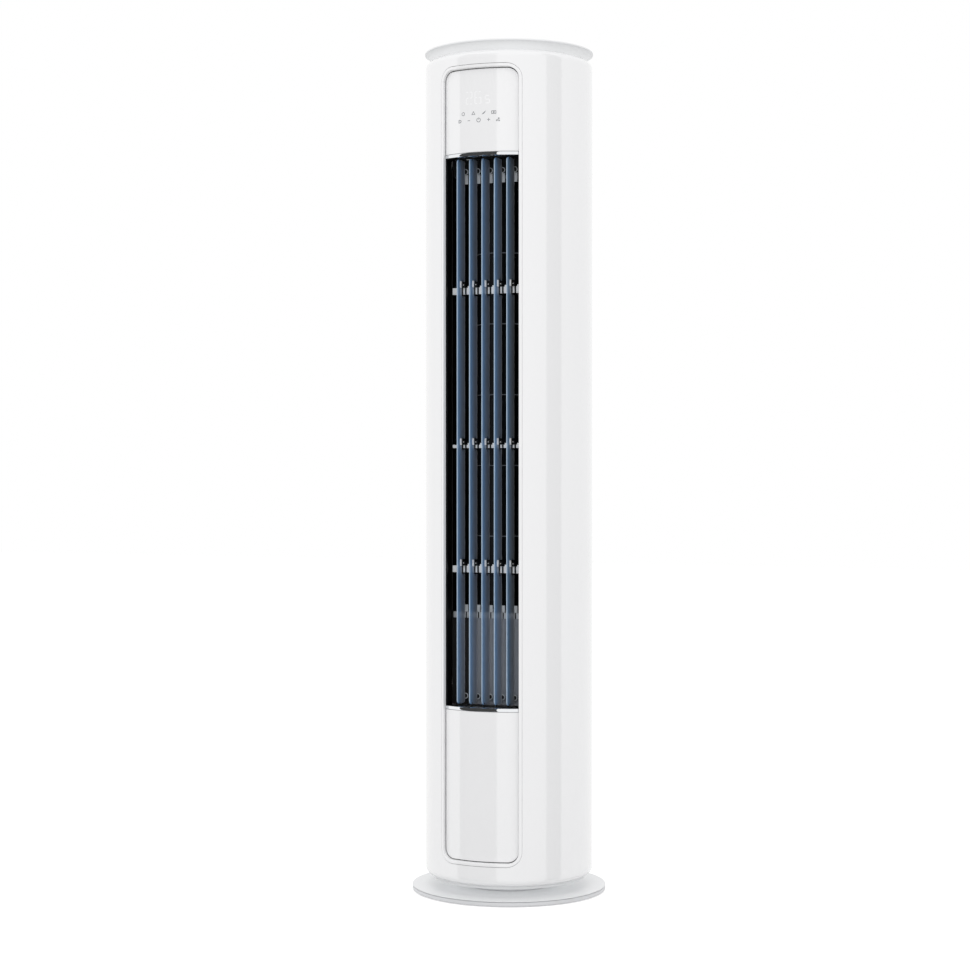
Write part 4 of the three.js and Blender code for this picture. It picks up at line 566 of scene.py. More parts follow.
def eased(profile: list[tuple[float, float]], cut: float, steps: int = 3) -> np.ndarray:
    """Rounds every corner of a closed outline with a parabola through its edges.

    Args:
        profile: the corners.
        cut: how far back from a corner the rounding starts, at most 0.45 of the edge.
        steps: points per corner, less one.

    Returns:
        The rounded outline, with an even count of points.
    """
    corner = np.array(profile)
    towards_last = np.roll(corner, 1, axis=0) - corner
    towards_next = np.roll(corner, -1, axis=0) - corner

    def back(edge: np.ndarray) -> np.ndarray:
        """Returns the step along an edge to where the rounding starts."""
        length = np.linalg.norm(edge, axis=1, keepdims=True)
        return edge / length * np.minimum(cut, 0.45 * length)

    t = np.linspace(0, 1, steps + 1)[None, :, None]
    curve = (corner[:, None] + back(towards_last)[:, None] * (1 - t) ** 2 + back(towards_next)[:, None] * t ** 2)
    return curve.reshape(-1, 2)


def rectangle(x0: float, x1: float, z0: float, z1: float, cut: float = 0.0004, steps: int = 2) -> np.ndarray:
    """Returns a rounded rectangle as an outline that starts at its low inner corner."""
    return eased([(x0, z0), (x1, z0), (x1, z1), (x0, z1)], cut, steps)


def arc(centre: tuple[float, float], radius: float, start: float, end: float, steps: int) -> np.ndarray:
    """Returns points on a circle between two angles in degrees."""
    t = np.radians(np.linspace(start, end, steps + 1))
    return np.stack([centre[0] + radius * np.cos(t), centre[1] + radius * np.sin(t)], axis=-1)


def post(x: float, y: float, radius: float, bottom: float, top: float, steps: int = 20) -> Surface:
    """Makes an upright round pin with eased ends.

    Args:
        x: where it stands.
        y: where it stands.
        radius: its radius.
        bottom: lowest level.
        top: highest level.
        steps: faces round it.

    Returns:
        The pin.
    """
    ease = min(radius * 0.25, 0.0006)
    profile = np.array([(0, bottom), (radius - ease, bottom), (radius, bottom + ease), (radius, top - ease),
                        (radius - ease, top), (0, top)])
    return turned(profile, 0.0, steps).moved(x, y)


def sleeve(outer: float, bore: float, bottom: float, top: float, steps: int = 28) -> Surface:
    """Returns an upright tube about the origin."""
    return turned(rectangle(bore, outer, bottom, top, 0.0004), 0.0, steps)


def prism(outline: np.ndarray, bottom: float, top: float, ease: float = 0.0) -> Surface:
    """Raises a plan outline from one level to another, with its ends drawn in by the ease.

    Args:
        outline: array of (x, y), an even count, so that the caps' ladder closes it.
        bottom: lowest level.
        top: highest level.
        ease: chamfer at both ends.

    Returns:
        The closed surface.
    """
    middle = outline.mean(axis=0)
    inward = (middle - outline) / np.linalg.norm(middle - outline, axis=1, keepdims=True)
    small = outline + inward * ease
    levels = [(small, bottom), (outline, bottom + ease), (outline, top - ease), (small, top)]
    if not ease:
        levels = [(outline, bottom), (outline, top)]
    return lofted(np.stack([np.column_stack([plan, np.full(len(plan), level)]) for plan, level in levels]))


def walled(outer: np.ndarray, inner: np.ndarray, keep: np.ndarray | None = None) -> Surface:
    """Makes a sheet of wall thickness from its two faces on one grid, and closes it along every free edge.

    Args:
        outer: outer points, rows by columns.
        inner: inner points, on the same grid.
        keep: which cells of the grid are there; all of them where it is left out.

    Returns:
        The closed surface.
    """
    rows, columns = outer.shape[:2]
    quads = grid_quads(rows, columns)
    if keep is not None:
        quads = quads[keep.reshape(-1)]
    count = rows * columns
    start = quads.reshape(-1)
    end = np.roll(quads, -1, axis=1).reshape(-1)
    free = ~np.isin(start * count + end, end * count + start)
    a, b = start[free], end[free]
    rim = np.stack([b, a, a + count, b + count], axis=-1)
    points = np.concatenate([outer.reshape(-1, 3), inner.reshape(-1, 3)])
    return Surface(points, np.concatenate([quads, quads[:, ::-1] + count, rim])).welded().outward()


def dress(name: str, surface: Surface, finish: Finish, body: str, nodes: tuple[str, ...] = (),
          bevel: float = 0.0) -> bpy.types.Object:
    """Makes a piece from a surface, with its finish, and ties it to the frame.

    Args:
        name: the piece's name.
        surface: its closed surface.
        finish: its material.
        body: the body that it rides on.
        nodes: the CAD nodes that it stands for.
        bevel: width of the rounding on its sharp edges.

    Returns:
        The object.
    """
    mesh = bpy.data.meshes.new(name)
    faces = [list(dict.fromkeys(face)) for face in surface.quads.tolist()]
    mesh.from_pydata(surface.points.tolist(), [], faces)
    mesh.polygons.foreach_set("use_smooth", np.ones(len(faces), dtype=bool))
    mesh.set_sharp_from_angle(angle=SHARP_ANGLE)
    mesh.update()
    piece = bpy.data.objects.new(name, mesh)
    bpy.context.scene.collection.objects.link(piece)
    mesh.materials.append(finish.material())
    if bevel:
        rounding = piece.modifiers.new("edges", "BEVEL")
        rounding.width = bevel
        rounding.segments = 2
        rounding.limit_method = "ANGLE"
        rounding.angle_limit = BEVEL_ANGLE
        rounding.harden_normals = True
    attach(piece, body)
    if nodes:
        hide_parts(*nodes)
    log.info("%s: %d points, %s, on %s", name, len(surface.points), finish.name, body)
    return piece


def refinish(finish: Finish, *nodes: str) -> None:
    """Gives CAD nodes whose shape is right a procedural material.

    Args:
        finish: the material.
        nodes: the nodes' names.
    """
    for node in nodes:
        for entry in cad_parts[node].material_slots:
            entry.material = finish.material()
        log.info("%s: kept, %s", node, finish.name)


# ---------------------------------------------------------------------------
# Openings in the round wall
# ---------------------------------------------------------------------------


@dataclass(frozen=True)
class Opening:
    """A rounded rectangle seen from the front, in x and level."""

    half: float
    bottom: float
    top: float
    corner: float

    def inset(self, by: float) -> "Opening":
        """Returns the opening drawn in on every side."""
        return Opening(self.half - by, self.bottom + by, self.top - by, max(self.corner - by, 0.002))

    def across(self, flat: int = 20, bend: int = 10) -> np.ndarray:
        """Places points across the opening, closer round its corners: x = half - corner + corner sin t.

        Args:
            flat: steps between the corners.
            bend: steps round each corner.

        Returns:
            The x of each, from left to right.
        """
        t = np.linspace(0, np.pi / 2, bend + 1)
        right = self.half - self.corner + self.corner * np.sin(t)
        middle = np.linspace(-right[0], right[0], flat + 1)[1:-1]
        return np.concatenate([-right[::-1], middle, right])

    def pull(self, x: np.ndarray) -> np.ndarray:
        """Returns how far the rounded corner draws in the top at x: c - sqrt(c^2 - over^2)."""
        over = np.clip(np.abs(x) - (self.half - self.corner), 0, self.corner)
        return self.corner - np.sqrt(np.maximum(self.corner ** 2 - over ** 2, 0))

    def path(self, bend: int = 12, flat: int = 24, tall: int = 32) -> np.ndarray:
        """Walks the outline once, from the low right corner upwards.

        Args:
            bend: steps round each corner.
            flat: steps along the top and the bottom.
            tall: steps up each side.

        Returns:
            Array of (x, level).
        """
        x, low, high = self.half - self.corner, self.bottom + self.corner, self.top - self.corner
        side = np.linspace(low, high, tall + 1)[1:-1]
        run = np.linspace(x, -x, flat + 1)[1:-1]
        return np.concatenate([
            arc((x, low), self.corner, -90, 0, bend),
            np.column_stack([np.full(len(side), self.half), side]),
            arc((x, high), self.corner, 0, 90, bend),
            np.column_stack([run, np.full(len(run), self.top)]),
            arc((-x, high), self.corner, 90, 180, bend),
            np.column_stack([np.full(len(side), -self.half), side[::-1]]),
            arc((-x, low), self.corner, 180, 270, bend),
            np.column_stack([run[::-1], np.full(len(run), self.bottom)]),
        ])


def on_cylinder(x: np.ndarray, level: np.ndarray, radius: np.ndarray | float) -> np.ndarray:
    """Places front-view points on a cylinder about the column's axis: y = -sqrt(r^2 - x^2)."""
    x, level, radius = np.broadcast_arrays(x, level, radius)
    return np.stack([x, -np.sqrt(radius ** 2 - x ** 2), level], axis=-1)


# ---------------------------------------------------------------------------
# Base
# ---------------------------------------------------------------------------


@dataclass
class Base:
    """The disc that the unit stands on, in a skin and a skirt, the collar on it and the column's foot tray."""

    radius: float = 0.204
    underside: float = 0.0012
    top: float = 0.012
    lip: float = 0.0010  # depth of the overhanging top skin
    groove: float = 0.0014  # height of the shadow groove below it
    collar_outer: float = 0.095
    collar_neck: float = 0.078
    collar_bore: float = 0.060
    collar_top: float = 0.0277
    tray_radius: float = 0.160
    tray_bottom: float = 0.028
    tray_height: float = 0.034

    def skin(self) -> Surface:
        """Returns the base's top skin, a thin disc with a rounded edge."""
        r, low = self.radius, self.top - self.lip
        rim = np.concatenate([
            np.array([(0, low), (r - 0.003, low)]),
            arc((r - 0.0005, low + 0.0005), 0.0005, -90, 60, 5),
            np.array([(r - 0.0018, self.top - 0.00005), (r - 0.004, self.top), (0, self.top)]),
        ])
        return turned(rim, steps=RIM_STEPS)

    def skirt(self) -> Surface:
        """Returns the base below its skin: a rounded skirt and the shadow groove above it."""
        r, high, depth = self.radius, self.top - self.lip, 0.0036
        shoulder = high - self.groove
        rim = np.concatenate([
            np.array([(0, self.underside), (r - 0.005, self.underside)]),
            arc((r - 0.0026, self.underside + 0.0022), 0.0022, -90, 0, 5),
            arc((r - 0.0007, shoulder - 0.0003), 0.0003, 0, 90, 2),
            np.array([(r - depth, shoulder), (r - depth, high - 0.0001), (0, high - 0.0001)]),
        ])
        return turned(rim, steps=RIM_STEPS)

    def collar(self) -> Surface:
        """Returns the collar: a foot flange, a neck and a top flange under the tray."""
        foot = self.top + SEAM_GAP
        wall = 0.004
        outline = [(self.collar_bore, foot), (self.collar_outer, foot), (self.collar_outer, foot + wall),
                   (self.collar_neck, foot + wall), (self.collar_neck, self.collar_top - wall),
                   (self.collar_outer - wall, self.collar_top), (self.collar_bore, self.collar_top)]
        return turned(eased(outline, 0.0012), steps=120)

    def tray(self) -> Surface:
        """Returns the pressed tray that closes the column's foot."""
        outer, wall, low = self.tray_radius, 0.003, self.tray_bottom
        outline = [(self.collar_bore, low), (outer, low), (outer, low + self.tray_height),
                   (outer - wall, low + self.tray_height), (outer - wall, low + wall),
                   (self.collar_bore, low + wall)]
        return turned(eased(outline, 0.002), steps=120)

    def build(self) -> None:
        """Builds and dresses the base."""
        body = Body.CASING.value
        dress("base_skin", self.skin(), WHITE_ABS, body, ("base_plate",))
        dress("base_skirt", self.skirt(), SATIN_ABS, body, ("base_plate",))
        dress("collar", self.collar(), SATIN_ABS, body, ("pedestal_collar",))
        dress("foot_tray", self.tray(), POWDER_WHITE, body, ("bottom_chassis",))
        refinish(RUBBER, "foot_ring")
        refinish(STEEL, *(f"collar_screw_{i}" for i in (1, 2, 3)))


# ---------------------------------------------------------------------------
# Casing
# ---------------------------------------------------------------------------


@dataclass
class Casing:
    """The round white casing: a front shell with the tall window, two rear covers and the cap."""

    radius: float = 0.176
    wall: float = 0.0025
    foot_level: float = 0.035
    foot_fillet: float = 0.015
    shoulder_radius: float = 0.016
    shoulder_level: float = 1.7253
    shoulder_sweep: float = 66.8
    seam: float = 112.5
    cap_radius: float = 0.177
    cap_bottom: float = 1.7566
    top: float = 1.760
    neck_radius: float = 0.166
    neck_bottom: float = 1.7183
    neck_seam: float = 1.7393
    window: Opening = Opening(0.090, 0.0755, 1.711, 0.030)
    grille_span: tuple[float, float] = (0.421, 1.560)
    port: Opening = Opening(0.038, 0.094, 0.146, 0.012)
    below: int = 7  # rows of faces under and over an opening
    beside: int = 30  # rows of faces beside it

    def wall_sheet(self, facing: float, half_turn: float, low: float | None, high: float | None,
                   opening: Opening | None = None) -> Surface:
        """Makes part of the casing's wall on a grid of angles and levels.

        Rows climb from the turned-in foot, up the straight wall and over the shoulder. Beside and
        across an opening the rows between follow its outline, so that its rounded corners are clean.

        Args:
            facing: the angle of the sheet's middle, in degrees.
            half_turn: half of the angle that it covers.
            low: its lower edge, or None for the turned-in foot.
            high: its upper edge, or None for the rounded shoulder.
            opening: a window through it, centred on the facing angle.

        Returns:
            The closed sheet.
        """
        edge = math.radians(half_turn)
        if opening:
            hole = np.arcsin(opening.across() / self.radius)
            side = np.linspace(hole[-1], edge, 30)[1:]
            turns = np.concatenate([-side[::-1], hole, side])
        else:
            turns = np.linspace(-edge, edge, 81)
        x = self.radius * np.sin(turns)
        foot_top = self.foot_level + self.foot_fillet
        rows: list[tuple] = []
        if low is None:
            for a in np.radians(np.linspace(-90, 0, 10))[:-1]:
                centre = self.radius - self.foot_fillet
                rows.append((centre, foot_top, self.foot_fillet, a))
        start = foot_top if low is None else low
        end = self.shoulder_level if high is None else high
        straight = self.straight_levels(x, start, end, opening)
        foot_rows = len(rows)
        rows += [(self.radius, level, 0.0, 0.0) for level in straight]
        if high is None:
            for a in np.radians(np.linspace(0, self.shoulder_sweep, 11))[1:]:
                rows.append((self.radius - self.shoulder_radius, self.shoulder_level, self.shoulder_radius, a))

        def face(depth: float) -> np.ndarray:
            """Returns the grid at a depth below the outer skin."""
            radii, levels = [], []
            for centre, level, bend, a in rows:
                reach = bend - depth if bend else -depth
                radii.append(np.full(len(turns), centre + reach * math.cos(a)))
                levels.append(np.broadcast_to(level + reach * math.sin(a), turns.shape))
            r, z = np.stack(radii), np.stack(levels)
            angle = turns + math.radians(facing)
            return np.stack([r * np.sin(angle), -r * np.cos(angle), z], axis=-1)

        keep = np.ones((len(rows) - 1, len(turns) - 1), dtype=bool)
        if opening:
            inside = np.abs((x[1:] + x[:-1]) / 2) < opening.half
            first = foot_rows + self.below
            keep[first:first + self.beside, inside] = False
        return walled(face(0.0), face(self.wall), keep)

    def straight_levels(self, x: np.ndarray, start: float, end: float, opening: Opening | None) -> list[np.ndarray]:
        """Sets out the straight rows; those below, beside and above an opening follow its outline.

        Args:
            x: the x of each column of points.
            start: level of the lowest row.
            end: level of the highest row.
            opening: the window, if there is one.

        Returns:
            For each row, its level at each x.
        """
        if opening is None:
            return [np.full(len(x), level) for level in np.linspace(start, end, 34)]
        pull = np.where(np.abs(x) < opening.half, opening.pull(x), opening.corner)
        low, high = opening.bottom + pull, opening.top - pull
        under = [start + (low - start) * t for t in np.linspace(0, 1, self.below + 1)]
        middle = [low + (high - low) * t for t in np.linspace(0, 1, self.beside + 1)[1:-1]]
        over = [high + (end - high) * t for t in np.linspace(0, 1, self.below + 1)]
        return under + middle + over

    def cap(self) -> Surface:
        """Returns the cap: a thin disc over a hollow moulding that runs down to the neck, which has a fine seam.

        The moulding is a quarter ellipse about the rim's plumb line: radius = rim - reach cos a, level = foot + rise
        sin a.
        """
        r, high, low = self.cap_radius, self.top, self.cap_bottom
        neck, wall, seam = self.neck_radius, 0.003, self.neck_seam
        rim, foot = r - 0.0012, seam + 0.0008
        a = np.radians(np.linspace(88, 0, 12))
        hollow = np.column_stack([rim - (rim - neck) * np.cos(a), foot + (low - foot) * np.sin(a)])
        profile = np.concatenate([
            np.array([(0, high - 0.0002), (r - 0.005, high)]),
            arc((r - 0.0014, high - 0.0014), 0.0014, 90, 0, 5),
            arc((r - 0.0008, low + 0.0008), 0.0008, 0, -90, 3),
            hollow,
            np.array([(neck, seam + 0.0005), (neck - 0.001, seam + 0.0004), (neck - 0.001, seam - 0.0004),
                      (neck, seam - 0.0005), (neck, self.neck_bottom), (neck - wall, self.neck_bottom),
                      (neck - wall, seam), (neck - wall, low - 0.004), (0, low - 0.004)]),
        ])
        return turned(profile, steps=RIM_STEPS)

    def build(self) -> None:
        """Builds and dresses the casing."""
        body = Body.CASING.value
        seam = math.degrees(SEAM_GAP / self.radius)
        rear = 180 - self.seam - seam
        low, high = self.grille_span
        front = self.wall_sheet(0, self.seam - seam, None, None, self.window)
        dress("front_casing", front, GLOSS_ABS, body, ("front_shell",), bevel=0.0007)
        upper = self.wall_sheet(180, rear, high + GRILLE_GAP, None)
        dress("upper_cover", upper, GLOSS_ABS, body, ("rear_upper_cover",), bevel=0.0006)
        lower = self.wall_sheet(180, rear, None, low - GRILLE_GAP, self.port)
        dress("lower_cover", lower, GLOSS_ABS, body, ("rear_lower_cover",), bevel=0.0006)
        dress("cap", self.cap(), WHITE_ABS, body, ("top_cap",))
        refinish(GALVANISED, "top_frame")
        refinish(RUBBER, "cord_gland")


# ---------------------------------------------------------------------------
# Front window
# ---------------------------------------------------------------------------


@dataclass
class FrontWindow:
    """The recessed window: its sloped frame, the control panel, the lower panel and the two bright trims."""

    casing: Casing
    lip: float = 0.0068
    slope: float = 0.0012
    panel_radius: float = 0.168
    panel_wall: float = 0.0025
    control_bottom: float = 1.5325
    lower_top: float = 0.3915
    trim_height: float = 0.007
    trim_back: float = 0.146
    trim_proud: float = 0.0003  # how far a trim's face stands before the panels'
    gap: float = 0.0006
    panel_gap: float = 0.0015

    def frame_ring(self) -> Surface:
        """Returns the frame: a profile of inset and radius carried round the window's outline.

        The flat lip lies flush with the casing, then the profile falls to the panels and returns behind.
        """
        r, low = self.casing.radius, self.panel_radius
        reach = self.lip + self.slope
        profile = [
            (self.gap, r - 0.0022), (self.gap, r - 0.0006), (self.gap + 0.0003, r - 0.0001),
            (self.gap + 0.0008, r), (self.lip - 0.001, r), (self.lip - 0.0004, r - 0.0002),
            (self.lip, r - 0.0009), (self.lip + 0.0004, r - 0.002), (reach - 0.0006, low + 0.0014),
            (reach - 0.0002, low + 0.0004), (reach, low - 0.0002), (reach, low - 0.0006),
            (reach - 0.0022, low - 0.0005), (self.lip - 0.0022, r - 0.003), (self.lip - 0.003, r - 0.0022),
        ]
        loops = []
        for inset, radius in profile:
            path = self.casing.window.inset(inset).path()
            loops.append(on_cylinder(path[:, 0], path[:, 1], radius))
        stack = np.stack(loops, axis=1)
        return lofted(stack, close=True)

    def panel(self, bottom: float, top: float, low_corner: float, high_corner: float) -> Surface:
        """Makes a curved panel, with each column's ends drawn in by its rounded corners.

        Args:
            bottom: its lower edge.
            top: its upper edge.
            low_corner: radius of its lower corners, or 0.
            high_corner: radius of its upper corners, or 0.

        Returns:
            The closed sheet.
        """
        half = self.casing.window.half - self.lip - self.slope - self.panel_gap
        corner = max(low_corner, high_corner)
        outline = Opening(half, bottom, top, corner)
        x = outline.across(24, 10)
        low = bottom + (outline.pull(x) if low_corner > high_corner else 0 * x)
        high = top - (outline.pull(x) if high_corner > low_corner else 0 * x)
        t = np.linspace(0, 1, 21)[:, None]
        level = low + (high - low) * t
        r = self.panel_radius
        return walled(on_cylinder(x, level, r), on_cylinder(x, level, r - self.panel_wall))

    def trim(self, bottom: float) -> Surface:
        """Makes a bright trim: a rounded section whose face follows the panels' curve and whose back is flat.

        Args:
            bottom: its lower edge.

        Returns:
            The trim.
        """
        half = self.casing.window.half - self.lip - self.slope - self.gap
        x = np.linspace(-half, half, 49)
        face = np.sqrt((self.panel_radius + self.trim_proud) ** 2 - x ** 2)
        ease, top = 0.0009, bottom + self.trim_height
        section = [(0.0, bottom, -1), (0.0, top, -1), (0.001, top, 0), (ease, top, 1),
                   (ease * 0.3, top - ease * 0.3, 1), (0.0, top - ease, 1), (0.0, bottom + ease, 1),
                   (ease * 0.3, bottom + ease * 0.3, 1), (ease, bottom, 1), (0.001, bottom, 0)]
        loops = []
        for back, level, kind in section:
            depth = face - back if kind == 1 else np.full(len(x), self.trim_back + (0.001 if kind == 0 else 0))
            loops.append(np.column_stack([x, -depth, np.full(len(x), level)]))
        return lofted(np.stack(loops, axis=1))

    def build(self) -> None:
        """Builds and dresses the window."""
        body = Body.CASING.value
        window = self.casing.window
        reach = self.lip + self.slope
        bottom, top = window.bottom + reach, window.top - reach
        corner = window.corner - reach - self.panel_gap
        dress("recess_frame", self.frame_ring(), GLOSS_ABS, body, ("window_frame",))
        control = self.panel(self.control_bottom + self.gap, top - self.panel_gap, 0.0, corner)
        dress("touch_panel", control, GLOSS_ABS, body, ("control_panel",), bevel=0.0006)
        lower = self.panel(bottom + self.panel_gap, self.lower_top - self.gap, corner, 0.0)
        dress("foot_panel", lower, GLOSS_ABS, body, ("lower_panel",), bevel=0.0006)
        high_trim = self.trim(self.control_bottom - self.trim_height)
        dress("upper_trim", high_trim, CHROME_PLATE, body, ("outlet_trim_top",))
        dress("lower_trim", self.trim(self.lower_top), CHROME_PLATE, body,
              ("outlet_trim_bottom",))
        refinish(BOARD, "display_board")


# ---------------------------------------------------------------------------
# Display and touch keys
# ---------------------------------------------------------------------------

Stroke = list[tuple[float, float]]


@dataclass
class PanelMarks:
    """The faint display figures and the two rows of touch symbols, in millimetres along and up the panel."""

    radius: float = 0.168
    digit_width: float = 1.9
    key_width: float = 1.15
    height: float = 0.00008
    upper_row: float = 1612.2
    lower_row: float = 1597.6

    def ribbon(self, strokes: list[Stroke], width: float) -> Surface:
        """Returns strokes as flat bars on the panel: each leg is a thin box bent round the cylinder.

        Args:
            strokes: lines of (along, level) in millimetres.
            width: how wide each line is.

        Returns:
            All the bars as one surface.
        """
        starts = np.array([p for line in strokes for p in line[:-1]], dtype=float)
        ends = np.array([p for line in strokes for p in line[1:]], dtype=float)
        along = (ends - starts) / np.linalg.norm(ends - starts, axis=1, keepdims=True)
        side = np.stack([-along[:, 1], along[:, 0]], axis=-1) * width / 2
        starts, ends = starts - along * width * 0.35, ends + along * width * 0.35
        flat = np.stack([starts - side, ends - side, ends + side, starts + side], axis=1) / 1000
        layers = []
        for radius in (self.radius - 0.0002, self.radius + self.height):
            angle = flat[..., 0] / self.radius
            layers.append(np.stack([radius * np.sin(angle), -radius * np.cos(angle), flat[..., 1]], axis=-1))
        points = np.concatenate(layers, axis=1).reshape(-1, 3)
        box = np.array([[0, 3, 2, 1], [4, 5, 6, 7], [0, 1, 5, 4], [1, 2, 6, 5], [2, 3, 7, 6], [3, 0, 4, 7]])
        quads = (box[None] + np.arange(len(starts))[:, None, None] * 8).reshape(-1, 4)
        return Surface(points, quads).outward()

    def digits(self) -> list[Stroke]:
        """Returns the set temperature in seven-segment figures."""
        def figure(x: float, z: float, wide: float, tall: float, on: str) -> list[Stroke]:
            """Draws one figure.

            Args:
                x: its left edge.
                z: its lower edge.
                wide: its width.
                tall: its height.
                on: the lit segments, named a to g as usual.

            Returns:
                One stroke for each lit segment.
            """
            gap = 1.3
            left, right, low, mid, high = x, x + wide, z, z + tall / 2, z + tall
            bars = {
                "a": [(left + gap, high), (right - gap, high)], "b": [(right, high - gap), (right, mid + gap)],
                "c": [(right, mid - gap), (right, low + gap)], "d": [(left + gap, low), (right - gap, low)],
                "e": [(left, mid - gap), (left, low + gap)], "f": [(left, high - gap), (left, mid + gap)],
                "g": [(left + gap, mid), (right - gap, mid)],
            }
            return [bars[name] for name in on]

        return (figure(-27.5, 1631.5, 13.5, 24, "abged") + figure(-7.5, 1631.5, 13.5, 24, "afgedc")
                + figure(15, 1631.5, 9, 15, "afgcd"))

    def keys(self) -> list[Stroke]:
        """Returns the touch symbols: mode, fan, swing and timer above; light, minus, power, plus and more below."""
        def ring(x: float, z: float, reach: float, sides: int, start: float = 0.0, sweep: float = 360.0) -> Stroke:
            """Returns a regular outline as a line of points."""
            t = np.radians(start + np.linspace(0, sweep, sides + 1))
            return [(x + reach * c, z + reach * s) for c, s in zip(np.sin(t), np.cos(t))]

        up, low = self.upper_row, self.lower_row
        return [
            ring(-35, up, 3.6, 6),
            ring(-11, up - 0.8, 4.0, 3),
            [(8.2, up - 3), (12, up), (15.6, up + 3)], [(11, up - 2.4), (14.2, up + 0.6)],
            [(28.6, up - 2.8), (28.6, up + 2.8), (32.4, up + 2.8), (32.4, up - 2.8), (28.6, up - 2.8)],
            [(33.8, up - 2.8), (33.8, up + 2.8), (37.4, up + 2.8), (37.4, up - 2.8), (33.8, up - 2.8)],
            [(-46.4, low - 2.8), (-46.4, low + 2.8), (-43.6, low + 2.8), (-43.6, low - 2.8), (-46.4, low - 2.8)],
            ring(-42.6, low, 2.4, 6, 0, 180),
            [(-24, low), (-19, low)],
            ring(0.6, low, 4.0, 16, 25, 310), [(0.6, low + 1.2), (0.6, low + 4.6)],
            [(19.6, low), (25, low)], [(22.3, low - 2.7), (22.3, low + 2.7)],
            ring(43.4, low + 1.8, 1.3, 6), ring(39.4, low - 2.2, 1.1, 6), ring(44.0, low - 2.4, 1.1, 6),
            [(40.2, low - 1.4), (42.6, low + 0.9)],
        ]

    def build(self) -> None:
        """Builds and dresses the marks."""
        body = Body.CASING.value
        dress("display_figures", self.ribbon(self.digits(), self.digit_width), LIT_DIGIT, body)
        dress("touch_symbols", self.ribbon(self.keys(), self.key_width), KEY_INK, body)


# ---------------------------------------------------------------------------
# Air outlet
# ---------------------------------------------------------------------------


